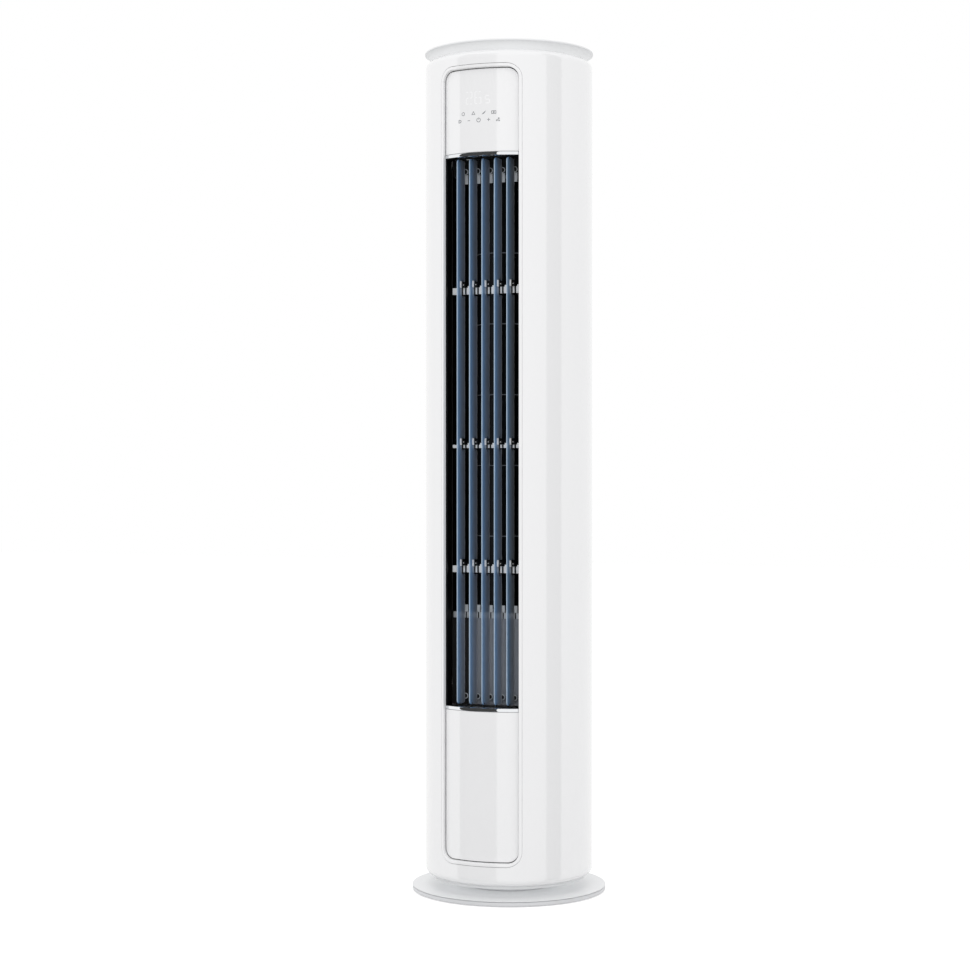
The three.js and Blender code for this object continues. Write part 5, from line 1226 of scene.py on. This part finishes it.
@dataclass
class AirOutlet:
    """Five swinging blades, the three bars that link them, and the duct round them."""

    places: tuple[float, ...] = (-0.055, -0.0275, 0.0, 0.0275, 0.055)
    pivot_y: float = -0.138
    bottom: float = 0.4025
    top: float = 1.5235
    nose: float = -0.012  # blade's front edge from its pivot
    tail: float = 0.028
    thickness: float = 0.0025
    corner: float = 0.009
    pivot_radius: float = 0.002
    pivot_ends: tuple[float, float] = (0.3958, 1.5282)
    drive_top: float = 1.5375
    link_levels: tuple[float, ...] = (0.6799, 0.9334, 1.254)
    bar_heights: tuple[float, ...] = (0.014, 0.007, 0.014)
    link_arm: float = 0.016
    slot_above: float = 0.013
    slot_below: float = 0.003
    slot_from: float = 0.0104
    pin_radius: float = 0.0016
    bar_half: float = 0.076
    bar_thickness: float = 0.003
    bar_slot: tuple[float, float] = (0.0064, 0.0104)  # dark slot behind each blade, from the blade's place
    ring_place: tuple[float, float] = (0.0050, 0.0100)  # middle of a clip's ring from the pivot
    wall_front: float = -0.0997  # face of the motor cover and of the bearing bracket
    boss_front: float = 0.1057
    boss_levels: tuple[float, float] = (0.4155, 1.5025)
    wall_half: float = 0.084
    cover_top: float = 0.5895
    cover_bottom: float = 0.3988
    # x spans of the dark strips of painted shade over the cover's upright edges
    shade_strip_spans: tuple[tuple[float, float], ...] = ((-0.0872, -0.050), (0.068, 0.0872))
    bracket_bottom: float = 1.493
    notch: float = 0.0030
    rim_height: float = 0.012
    ring_lift: float = 0.0056  # middle of a clip's ring above the clip's foot
    tab_width: float = 0.007
    tab_height: float = 0.015

    def blade(self) -> Surface:
        """Returns a blade about its pivot: level loops of an aerofoil, cut short where a link bar passes.

        The half thickness is (t / 2) sqrt(1 - (1 - s)^2) over the nose, then tapers by a fifth to the tail.
        The front and back edges of the loops follow the rounded ends: reach = c - sqrt(c^2 - (c - d)^2).
        """
        ends = self.corner * (1 - np.cos(np.linspace(0, np.pi / 2, 9)))
        stations = [(self.bottom + d, d, None) for d in ends]
        last = self.bottom + self.corner
        spans = self.slot_spans()
        for low, high in spans:
            stations += [(z, 1.0, None) for z in np.linspace(last, low, 14)[1:]]
            stations += [(low + 1e-5, 1.0, self.slot_from), (high - 1e-5, 1.0, self.slot_from), (high, 1.0, None)]
            last = high
        stations += [(z, 1.0, None) for z in np.linspace(last, self.top - self.corner, 14)[1:-1]]
        stations += [(self.top - d, d, None) for d in ends[::-1]]
        loops = []
        for z, d, cut in stations:
            nose = self.nose + self.rounding(d, self.corner)
            tail = cut or self.tail - self.rounding(d, self.corner / 2)
            s = np.concatenate([0.07 * (1 - np.cos(np.linspace(0, np.pi / 2, 6))), np.linspace(0.07, 1, 9)[1:]])
            y = nose + s * (tail - nose)
            half = self.half_thickness(y - nose)
            x = np.concatenate([half, -half[::-1]])
            loops.append(np.column_stack([x, np.concatenate([y, y[::-1]]), np.full(len(x), z)]))
        return lofted(np.stack(loops))

    def pins(self, drive: bool) -> Surface:
        """Makes a blade's dark pins about its pivot: three for the link bars, and one at each end.

        Args:
            drive: makes the upper one long, for the swing motor to turn.

        Returns:
            The pins.
        """
        low, high = self.pivot_ends
        parts = [post(0, self.link_arm, self.pin_radius, a - 0.004, b + 0.004, 14) for a, b in self.slot_spans()]
        parts += [post(0, 0, self.pivot_radius, low, self.bottom + 0.004, 16),
                  post(0, 0, self.pivot_radius, self.top - 0.004, self.drive_top if drive else high, 16)]
        return joined(parts)

    def slot_spans(self) -> list[tuple[float, float]]:
        """Returns the levels between which the blade is cut away for each link bar."""
        return [(level - height / 2 - self.slot_below, level + height / 2 + self.slot_above)
                for level, height in zip(self.link_levels, self.bar_heights)]

    def rounding(self, d: float, corner: float) -> float:
        """Returns how far a rounded corner draws an edge in, at a distance from the blade's end."""
        left = max(corner - d, 0.0)
        return corner - math.sqrt(corner ** 2 - left ** 2)

    def half_thickness(self, run: np.ndarray) -> np.ndarray:
        """Works out the aerofoil's half thickness.

        Args:
            run: distances behind its nose.

        Returns:
            The half thickness at each.
        """
        half, blunt = self.thickness / 2, 0.0024
        nose = half * np.sqrt(np.clip(1 - (1 - np.minimum(run / blunt, 1)) ** 2, 0, 1))
        taper = 1 - 0.2 * np.clip((run - blunt) / (self.tail - self.nose - blunt), 0, 1)
        return nose * taper

    def bar_length(self, start: float, end: float, low: float, high: float, thickness: float) -> Surface:
        """Returns one level length of bar with rounded edges, from one x to another."""
        section = rectangle(-thickness / 2, thickness / 2, low, high, 0.0007)
        return lofted(np.stack([np.column_stack([np.full(len(section), x), section]) for x in (start, end)]))

    def link_bar(self, height: float) -> Surface:
        """Makes a link bar's pale blocks, about its own middle: two between each pair of blades, one with a lug.

        Args:
            height: the bar's height.

        Returns:
            The blocks.
        """
        half, before, (slot_start, slot_end), after = height / 2, 0.003, self.bar_slot, 0.0026
        spans = [(-self.bar_half, self.places[0] - before)]
        for place, following in zip(self.places, self.places[1:] + (self.bar_half + before,)):
            spans += [(place + after, place + slot_start), (place + slot_end, following - before)]
        lugs = [(place + 0.0125, place + 0.0165) for place in self.places]
        parts = [self.bar_length(a, b, -half, half, self.bar_thickness) for a, b in spans]
        parts += [self.bar_length(a, b, half - 0.001, half + 0.0035, 0.002) for a, b in lugs]
        return joined(parts)

    def link_core(self, height: float) -> Surface:
        """Makes the dark core that joins a link bar's blocks, with the bushes that turn on the blades' pins.

        Args:
            height: the bar's height.

        Returns:
            The core.
        """
        eye, bore, half = 0.0032, self.pin_radius + 0.0003, height / 2 - 0.0008
        bushes = [sleeve(eye, bore, -half, half).moved(place) for place in self.places]
        ends = [-self.bar_half + 0.001] + [x for place in self.places for x in (place - bore, place + bore)]
        ends.append(self.bar_half - 0.001)
        core = [self.bar_length(a, b, -half, half, 0.0016) for a, b in zip(ends[::2], ends[1::2])]
        return joined(bushes + core)

    def painted_shade_strips(self) -> Surface:
        """Returns dark rubber strips over the motor cover's two upright edges, wider on the left: painted shade,
        standing where the duct's side walls shade the cover.
        """
        low, high = self.cover_bottom, self.cover_top - 0.0124
        return joined([self.tab((a + b) / 2, low, high, b - a, 0.0022) for a, b in self.shade_strip_spans])

    def tab(self, x: float, low: float, high: float, width: float, proud: float) -> Surface:
        """Returns a flat tab with eased edges against the wall behind the blades."""
        plan = rectangle(x - width / 2, x + width / 2, self.wall_front - proud, self.wall_front + 0.0008, 0.0005)
        return prism(plan, low, high, 0.0004)

    def bracket_tabs(self) -> Surface:
        """Returns the pale faces of the tabs that hang from the bearing bracket."""
        low = self.bracket_bottom - self.tab_height
        return joined([self.tab(x, low - 0.0002, low + 0.019, self.tab_width + 0.0004, 0.0005)
                       for x in self.places])

    def boss_rings(self) -> Surface:
        """Returns the pale end rings of the screw bosses on the motor cover and on the bearing bracket."""
        ring = sleeve(0.0062, 0.0046, self.boss_front - 0.0008, self.boss_front + 0.0004).tipped()
        return joined([ring.moved(x, 0, level) for level in self.boss_levels for x in self.places])

    def painted_hole_shade(self) -> Surface:
        """Returns black discs at the bottoms of the bosses' screw holes and black tabs in the notches of the cover's
        rim: painted shade in these recesses.
        """
        hole_shade_disc = post(0, 0, 0.0045, self.boss_front - 0.0030, self.boss_front + 0.0001).tipped()
        notch_shades = [self.tab(x, self.cover_top - self.rim_height, self.cover_top, self.notch - 0.0002, 0.0006)
                 for x in self.places]
        return joined([hole_shade_disc.moved(x, 0, level) for level in self.boss_levels for x in self.places] + notch_shades)

    def clip(self) -> Surface:
        """Returns the pale clips that hold a blade's link pins, one over each bar, about the blade's pivot.

        Each has an upright tongue and the pale middle of its ring.
        """
        plan = rectangle(-0.0032, 0.0032, 0.0020, 0.0072, 0.0008)
        across, behind = self.ring_place
        middle = post(0, 0, 0.0011, -behind - 0.0012, -behind - 0.0005, 16).tipped()
        parts = []
        for _, high in self.slot_spans():
            parts.append(prism(plan, high - self.slot_above - 0.0005, high, 0.0005))
            parts.append(middle.moved(across, 0, high - self.slot_above + self.ring_lift))
        return joined(parts)

    def clip_rings(self) -> Surface:
        """Returns the dark rings that stand on the blade's side beside each tongue, facing the front."""
        across, behind = self.ring_place
        ring = sleeve(0.0042, 0.0021, -behind - 0.001, -behind + 0.001, 24).tipped()
        return joined([ring.moved(across, 0, high - self.slot_above + self.ring_lift) for _, high in self.slot_spans()])

    def cover_rim(self) -> Surface:
        """Returns the motor cover's raised rim, notched below each tab, with the tabs' own pale faces."""
        low, high = self.cover_top - self.rim_height, self.cover_top + 0.0002
        notch = self.notch
        stops = [-self.wall_half] + [x for place in self.places for x in (place - notch / 2, place + notch / 2)]
        stops.append(self.wall_half)
        rim = [self.tab((start + end) / 2, low, high, end - start, 0.0015)
               for start, end in zip(stops[::2], stops[1::2])]
        tabs = [self.tab(x, high + 0.0008, self.cover_top + self.tab_height + 0.0002, self.tab_width + 0.0004,
                         0.0005) for x in self.places]
        return joined(rim + tabs)

    def build(self) -> None:
        """Builds and dresses the outlet."""
        middle = len(self.places) // 2
        for i, x in enumerate(self.places):
            body = f"blade_{i + 1}"
            dress(f"{body}_skin", self.blade().moved(x, self.pivot_y), SMOKED_BLADE, body,
                  (f"louver_{i + 1}",))
            dress(f"{body}_pins", self.pins(i == middle).moved(x, self.pivot_y), BLACK_PP, body)
            dress(f"{body}_clips", self.clip().moved(x, self.pivot_y), CLIP_ACETAL, body)
            dress(f"{body}_clip_rings", self.clip_rings().moved(x, self.pivot_y), BLACK_PP, body)
        for i, (level, height) in enumerate(zip(self.link_levels, self.bar_heights)):
            placed = self.link_bar(height).moved(0, self.pivot_y + self.link_arm, level)
            dress(f"linkage_bar_{i + 1}", placed, CLIP_ACETAL, Body.LINKAGE.value,
                  (f"link_bar_{i + 1}",))
            core = self.link_core(height).moved(0, self.pivot_y + self.link_arm, level)
            dress(f"linkage_core_{i + 1}", core, BLACK_PP, Body.LINKAGE.value)
        refinish(BLACK_PP, "duct_right_side", "duct_left_side", "duct_ceiling", "duct_floor",
                 "pivot_strip_top", "pivot_strip_bottom", "volute_wall", "tongue_wall")
        casing = Body.CASING.value
        dress("bracket_tabs", self.bracket_tabs(), GREY_ACETAL, casing)
        dress("cover_rim", self.cover_rim(), GREY_ACETAL, casing)
        # painted shade over the motor cover's upright edges
        dress("painted_shade_strips", self.painted_shade_strips(), RUBBER, casing)
        dress("boss_rings", self.boss_rings(), GREY_ACETAL, casing)
        # painted shade in the bosses' screw holes and the rim's notches
        dress("painted_hole_shade", self.painted_hole_shade(), BLACK_PP, casing)
        refinish(GREY_ACETAL, "swing_coupler")
        refinish(BLACK_PP, "bearing_bracket")
        refinish(GREY_ABS, "motor_cover")
        refinish(STEEL, "swing_motor")


# ---------------------------------------------------------------------------
# Fan
# ---------------------------------------------------------------------------


@dataclass
class CrossFlowFan:
    """The long squirrel-cage wheel behind the louvres."""

    axis_y: float = -0.024
    radius: float = 0.058
    inner: float = 0.045
    bottom: float = 0.600
    segment: float = 0.147
    segments: int = 6
    blades: int = 34
    blade_half: float = 0.0006  # half the thickness of a blade
    lag: float = 12.0  # degrees that a blade's inner edge trails its outer edge
    bow: float = 18.0  # what bends the blade between them
    stagger: float = 3.5  # degrees that each segment is set on from the last
    plate: float = 0.002
    hub: float = 0.016
    hub_height: float = 0.018
    bore: float = 0.0063

    def blade(self, low: float, high: float) -> Surface:
        """Makes one forward-curved blade.

        Its centre line is bowed: the radius falls evenly while the angle grows as lag t + bow t (1 - t) degrees.

        Args:
            low: level of the ring below it.
            high: level of the ring above it.

        Returns:
            The blade at the front of the wheel.
        """
        t = np.linspace(0, 1, 6)
        rim = self.radius - self.blade_half
        radius = rim + (self.inner - rim) * t
        lag = np.radians(self.lag * t + self.bow * t * (1 - t))
        line = np.column_stack([radius * np.sin(lag), -radius * np.cos(lag)])
        step = np.gradient(line, axis=0)
        across = np.column_stack([-step[:, 1], step[:, 0]]) / np.linalg.norm(step, axis=1, keepdims=True)
        half = (self.blade_half * np.sqrt(np.clip(1.02 - (2 * t - 1) ** 2, 0, 1)))[:, None]
        outline = np.concatenate([line + across * half, (line - across * half)[::-1]])
        return prism(outline, low, high)

    def wheel(self) -> Surface:
        """Returns the wheel: end discs with hubs, and each segment's blades set on a little further."""
        top = self.bottom + self.segments * self.segment
        parts = []
        for i in range(self.segments):
            low = self.bottom + i * self.segment + 0.0006
            blade = self.blade(low, low + self.segment - 0.0012)
            turns = np.linspace(0, 2 * np.pi, self.blades, endpoint=False) + math.radians(self.stagger * i)
            parts.append(blade.repeated(turns))
        for low, hub_low in ((self.bottom, self.bottom), (top - self.plate, top - self.hub_height)):
            parts.append(turned(rectangle(self.bore, self.radius, low, low + self.plate, 0.0005), steps=96))
            parts.append(turned(rectangle(self.bore, self.hub, hub_low, hub_low + self.hub_height, 0.001),
                                steps=48))
        return joined(parts).moved(0, self.axis_y)

    def rings(self) -> Surface:
        """Returns the rings between the wheel's segments."""
        levels = self.bottom + self.segment * np.arange(1, self.segments)
        return joined([turned(rectangle(self.inner - 0.001, self.radius, z - self.plate / 2, z + self.plate / 2,
                                        0.0005), steps=96) for z in levels]).moved(0, self.axis_y)

    def build(self) -> None:
        """Builds and dresses the fan."""
        dress("fan_cage", self.wheel(), FAN_NYLON, Body.FAN.value, ("fan_wheel",))
        dress("fan_rings", self.rings(), RING_NYLON, Body.FAN.value)
        refinish(STEEL, "fan_shaft", "fan_motor")
        refinish(RUBBER, "top_bearing")


# ---------------------------------------------------------------------------
# Heat exchanger
# ---------------------------------------------------------------------------


@dataclass
class HeatExchanger:
    """The curved fin pack behind the fan, its end plate with return bends, and the drain pan below."""

    inner: float = 0.117
    outer: float = 0.143
    start: float = 75.0
    end: float = 232.0
    bottom: float = 0.4581
    top: float = 1.478

    def fins(self) -> Surface:
        """Returns the fin pack: a deep profile carried round from end to end."""
        profile = rectangle(self.inner, self.outer, self.bottom, self.top, 0.0006)
        return band(profile, self.start, self.end, 72)

    def build(self) -> None:
        """Builds and dresses the heat exchanger."""
        dress("fin_pack", self.fins(), FIN_ALUMINIUM, Body.CASING.value, ("evaporator_fins",))
        refinish(COPPER, "evaporator_end_plate", "gas_pipe", "liquid_pipe")
        refinish(BRASS, "gas_nut", "liquid_nut")
        refinish(SATIN_ABS, "drain_pan")


# ---------------------------------------------------------------------------
# Rear intake
# ---------------------------------------------------------------------------


@dataclass
class RearIntake:
    """The tilting rear grille with its upright slats, and the filter clipped inside it."""

    casing: Casing
    inner: float = 0.1735
    rib: float = 0.022
    slats: int = 86
    slat_width: float = 0.0021
    stays: int = 9
    filter_outer: float = 0.1732
    filter_depth: float = 0.003
    filter_low: float = 0.429
    filter_high: float = 1.554
    post_width: float = 0.010  # of the grille's edge posts, and of the filter's bars and posts

    def span(self) -> tuple[float, float]:
        """Returns the angles of the grille's two upright edges."""
        seam = math.degrees(GRILLE_GAP / self.casing.radius)
        return self.casing.seam + seam, 360 - self.casing.seam - seam

    def grille(self) -> Surface:
        """Returns the grille: top, bottom and middle bands, two edge posts, upright slats and thin stays."""
        low, high = self.casing.grille_span
        start, end = self.span()
        outer = self.casing.radius
        middle = (low + high) / 2
        bands = [(low, low + self.rib), (middle - self.rib / 2, middle + self.rib / 2), (high - self.rib, high)]
        parts = [band(rectangle(self.inner, outer, a, b, 0.0008), start, end, 72) for a, b in bands]
        edge = math.degrees(self.post_width / outer)
        for a in (start, end - edge):
            parts.append(band(rectangle(self.inner, outer, low, high, 0.0008), a, a + edge, 6))
        stays = np.linspace(low + self.rib, high - self.rib, self.stays + 2)[1:-1]
        for level in stays:
            parts.append(band(rectangle(self.inner, self.inner + 0.0012, level - 0.0015, level + 0.0015, 0.0003, 1),
                              start, end, 72))
        turns = np.radians(np.linspace(start + edge, end - edge, self.slats + 2)[1:-1])
        half = self.slat_width / 2
        section = np.array([(-half, -self.inner), (-half, -outer + 0.0009), (-half * 0.5, -outer + 0.0003),
                            (half * 0.5, -outer + 0.0003), (half, -outer + 0.0009), (half, -self.inner)])
        slat = prism(section, low + self.rib - 0.001, high - self.rib + 0.001)
        return joined(parts + [slat.repeated(turns)])

    def filter_frame(self) -> Surface:
        """Returns the filter's frame: three level bars and three posts."""
        start, end = (a + b for a, b in zip(self.span(), (1.4, -1.4)))
        inner, outer = self.filter_outer - self.filter_depth, self.filter_outer
        bar = self.post_width
        wide = math.degrees(bar / outer)
        low, high = self.filter_low, self.filter_high
        levels = [low, (low + high) / 2 - bar / 2, high - bar]
        parts = [band(rectangle(inner, outer, z, z + bar, 0.0006), start, end, 60) for z in levels]
        for a in (start, (start + end - wide) / 2, end - wide):
            parts.append(band(rectangle(inner, outer, low, high, 0.0006), a, a + wide, 5))
        return joined(parts)

    def filter_mesh(self) -> Surface:
        """Returns the filter's mesh as a thin sheet in the middle of the frame."""
        start, end = (a + b for a, b in zip(self.span(), (1.8, -1.8)))
        middle = self.filter_outer - self.filter_depth / 2
        profile = np.array([(middle - 0.0003, self.filter_low + 0.004), (middle + 0.0003, self.filter_low + 0.004),
                            (middle + 0.0003, self.filter_high - 0.004),
                            (middle - 0.0003, self.filter_high - 0.004)])
        return band(profile, start, end, 60)

    def build(self) -> None:
        """Builds and dresses the intake."""
        body = Body.INTAKE_DOOR.value
        dress("intake_grille", self.grille(), GLOSS_ABS, body, ("rear_grille",))
        dress("filter_frame", self.filter_frame(), GREY_ACETAL, body, ("air_filter",))
        dress("filter_mesh", self.filter_mesh(), MESH_NYLON, body, ("air_filter",))


# ---------------------------------------------------------------------------
# Inner structure
# ---------------------------------------------------------------------------


@dataclass
class InnerStructure:
    """The pressed sheet parts and boards inside, whose CAD shapes are right as they are."""

    sheet: tuple[str, ...] = ("mid_deck", "upper_deck", "right_upright", "left_upright", "control_box",
                              "control_box_cover")

    def build(self) -> None:
        """Dresses the inner parts."""
        refinish(GALVANISED, *self.sheet)
        refinish(BOARD, "main_board")
        refinish(BLACK_PP, "terminal_block")


# ---------------------------------------------------------------------------
# Studio
# ---------------------------------------------------------------------------


@dataclass
class Studio:
    """The photograph's viewpoint, a white room, soft light and two dark cards that the gloss reflects."""

    azimuth: float = 21.9
    distance: float = 4.523
    height: float = 0.896
    focal_px: float = 2141.0
    frame_px: float = 970.0
    axis_px: float = 509.0
    horizon_px: float = 464.5
    card_radius: float = 3.4
    cards: tuple[tuple[float, float], ...] = ((-73.3, -16.9), (51.0, 74.5))
    card_levels: tuple[float, float] = (-3.0, 5.0)
    ambient: float = 1.02
    reflected_card: float = 0.06  # how bright the dark cards look in the gloss
    floor_half: float = 14.0
    paper: str = "d8d8d8"
    floor_glow: float = 0.55  # what lifts the floor to white where the camera sees it
    front_watts: float = 22.0
    foot_watts: float = 0.075

    def camera(self) -> None:
        """Sets the camera: it turns a little left and down, so that the column stands where the photograph has it."""
        a = math.radians(self.azimuth)
        yaw = math.atan((self.axis_px - self.frame_px / 2) / self.focal_px)
        pitch = math.atan((self.frame_px / 2 - self.horizon_px) / self.focal_px)
        data = bpy.data.cameras.new("camera")
        data.lens = self.focal_px / self.frame_px * data.sensor_width
        data.clip_end = 60
        camera = bpy.data.objects.new("camera", data)
        camera.location = (self.distance * math.sin(a), -self.distance * math.cos(a), self.height)
        camera.rotation_euler = (math.pi / 2 - pitch, 0, a + yaw)
        bpy.context.scene.collection.objects.link(camera)
        bpy.context.scene.camera = camera

    def rays(self, tree: bpy.types.NodeTree, kind: str) -> bpy.types.NodeSocket:
        """Returns 1 for rays of a kind, such as Camera, and 0 for others."""
        return add_node(tree, "LightPath").outputs[f"Is {kind} Ray"]

    def either(self, tree: bpy.types.NodeTree, one: bpy.types.NodeSocket,
               other: bpy.types.NodeSocket) -> bpy.types.NodeSocket:
        """Returns the larger of two values."""
        return add_node(tree, "Math", {0: one, 1: other}, operation="MAXIMUM").outputs["Value"]

    def world(self) -> None:
        """Sets the room: white to the camera, to gloss and through glass, and a plain level as light."""
        world = bpy.data.worlds.new("room")
        world.use_nodes = True
        tree = world.node_tree
        tree.nodes.clear()
        seen = self.either(tree, *(self.rays(tree, kind) for kind in ("Camera", "Glossy")))
        direct = self.either(tree, seen, self.rays(tree, "Transmission"))
        light = add_node(tree, "Background", {"Color": linear(WHITE), "Strength": self.ambient})
        white = add_node(tree, "Background", {"Color": linear(WHITE), "Strength": 1.0})
        mix = add_node(tree, "MixShader", {0: direct, 1: light.outputs["Background"], 2: white.outputs["Background"]})
        add_node(tree, "OutputWorld", {"Surface": mix.outputs["Shader"]})
        bpy.context.scene.world = world

    def floor(self) -> None:
        """Lays the floor: white as the camera sees it, and it keeps a faint shadow of the object."""
        mesh = bpy.data.meshes.new("floor")
        side = self.floor_half
        mesh.from_pydata([(-side, -side, 0), (side, -side, 0), (side, side, 0), (-side, side, 0)], [],
                         [(0, 1, 2, 3)])
        material, tree = bare_material("white_paper_floor")
        seen = self.either(tree, *(self.rays(tree, kind) for kind in ("Camera", "Glossy")))
        paper = add_node(tree, "BsdfDiffuse", {"Color": linear(self.paper)})
        glow = add_node(tree, "Emission", {"Color": linear(WHITE), "Strength": self.floor_glow})
        bright = add_node(tree, "AddShader", {0: paper.outputs["BSDF"], 1: glow.outputs["Emission"]})
        mix = add_node(tree, "MixShader", {0: seen, 1: paper.outputs["BSDF"], 2: bright.outputs["Shader"]})
        add_node(tree, "OutputMaterial", {"Surface": mix.outputs["Shader"]})
        mesh.materials.append(material)
        floor = bpy.data.objects.new("floor", mesh)
        floor.visible_glossy = False
        bpy.context.scene.collection.objects.link(floor)

    def card(self, name: str, start: float, end: float) -> None:
        """Stands a dark card where only reflections see it: an arc about the column.

        Args:
            name: the card's name.
            start: the angle of its first edge from the camera's azimuth, in degrees.
            end: the angle of its last edge.
        """
        turns = np.radians(self.azimuth + np.linspace(start, end, 13))
        low, high = self.card_levels
        rows = [np.column_stack([self.card_radius * np.sin(turns), -self.card_radius * np.cos(turns),
                                 np.full(len(turns), level)]) for level in (low, high)]
        mesh = bpy.data.meshes.new(name)
        mesh.from_pydata(np.concatenate(rows).tolist(), [], grid_quads(2, len(turns)).tolist())
        material, tree = bare_material(name)
        dark = add_node(tree, "Emission", {"Color": linear(WHITE), "Strength": self.reflected_card})
        add_node(tree, "OutputMaterial", {"Surface": dark.outputs["Emission"]})
        mesh.materials.append(material)
        card = bpy.data.objects.new(name, mesh)
        for kind in ("camera", "diffuse", "shadow", "transmission"):
            setattr(card, f"visible_{kind}", False)
        bpy.context.scene.collection.objects.link(card)

    def lamp(self, name: str, place: tuple[float, float, float], target: tuple[float, float, float], size: float,
             power: float) -> None:
        """Hangs a soft round lamp that only lights, and is seen in no reflection.

        Args:
            name: the lamp's name.
            place: where it hangs.
            target: the point that it faces.
            size: its width.
            power: in watts.
        """
        data = bpy.data.lights.new(name, "AREA")
        data.shape = "DISK"
        data.size = size
        data.energy = power
        lamp = bpy.data.objects.new(name, data)
        lamp.location = place
        aim = np.array(target) - np.array(place)
        flat = math.hypot(aim[0], aim[1])
        lamp.rotation_euler = (math.pi / 2 + math.atan2(aim[2], flat), 0, math.atan2(-aim[0], aim[1]))
        lamp.visible_glossy = False
        bpy.context.scene.collection.objects.link(lamp)

    def build(self) -> None:
        """Sets the camera, the room, the cards and the lamps."""
        bpy.context.scene.view_settings.view_transform = "Standard"
        self.camera()
        self.world()
        self.floor()
        for name, (start, end) in zip(("left_card", "right_card"), self.cards):
            self.card(name, start, end)
        self.lamp("front_lamp", (0.6, -4.2, 3.0), (0.0, 0.0, 0.9), 2.6, self.front_watts)
        self.lamp("foot_fill", (0.0, 0.0, 0.0279), (0.0, 0.0, 0.0), 0.30, self.foot_watts)


# ---------------------------------------------------------------------------


def main() -> None:
    logging.basicConfig(level=logging.INFO, format="%(name)s %(message)s")
    Studio().build()
    casing = Casing()
    for part in (Base(), casing, FrontWindow(casing), PanelMarks(), AirOutlet(), CrossFlowFan(),
                 HeatExchanger(), RearIntake(casing), InnerStructure()):
        log.info("%s", type(part).__name__)
        part.build()


if __name__ == "__main__":
    main()
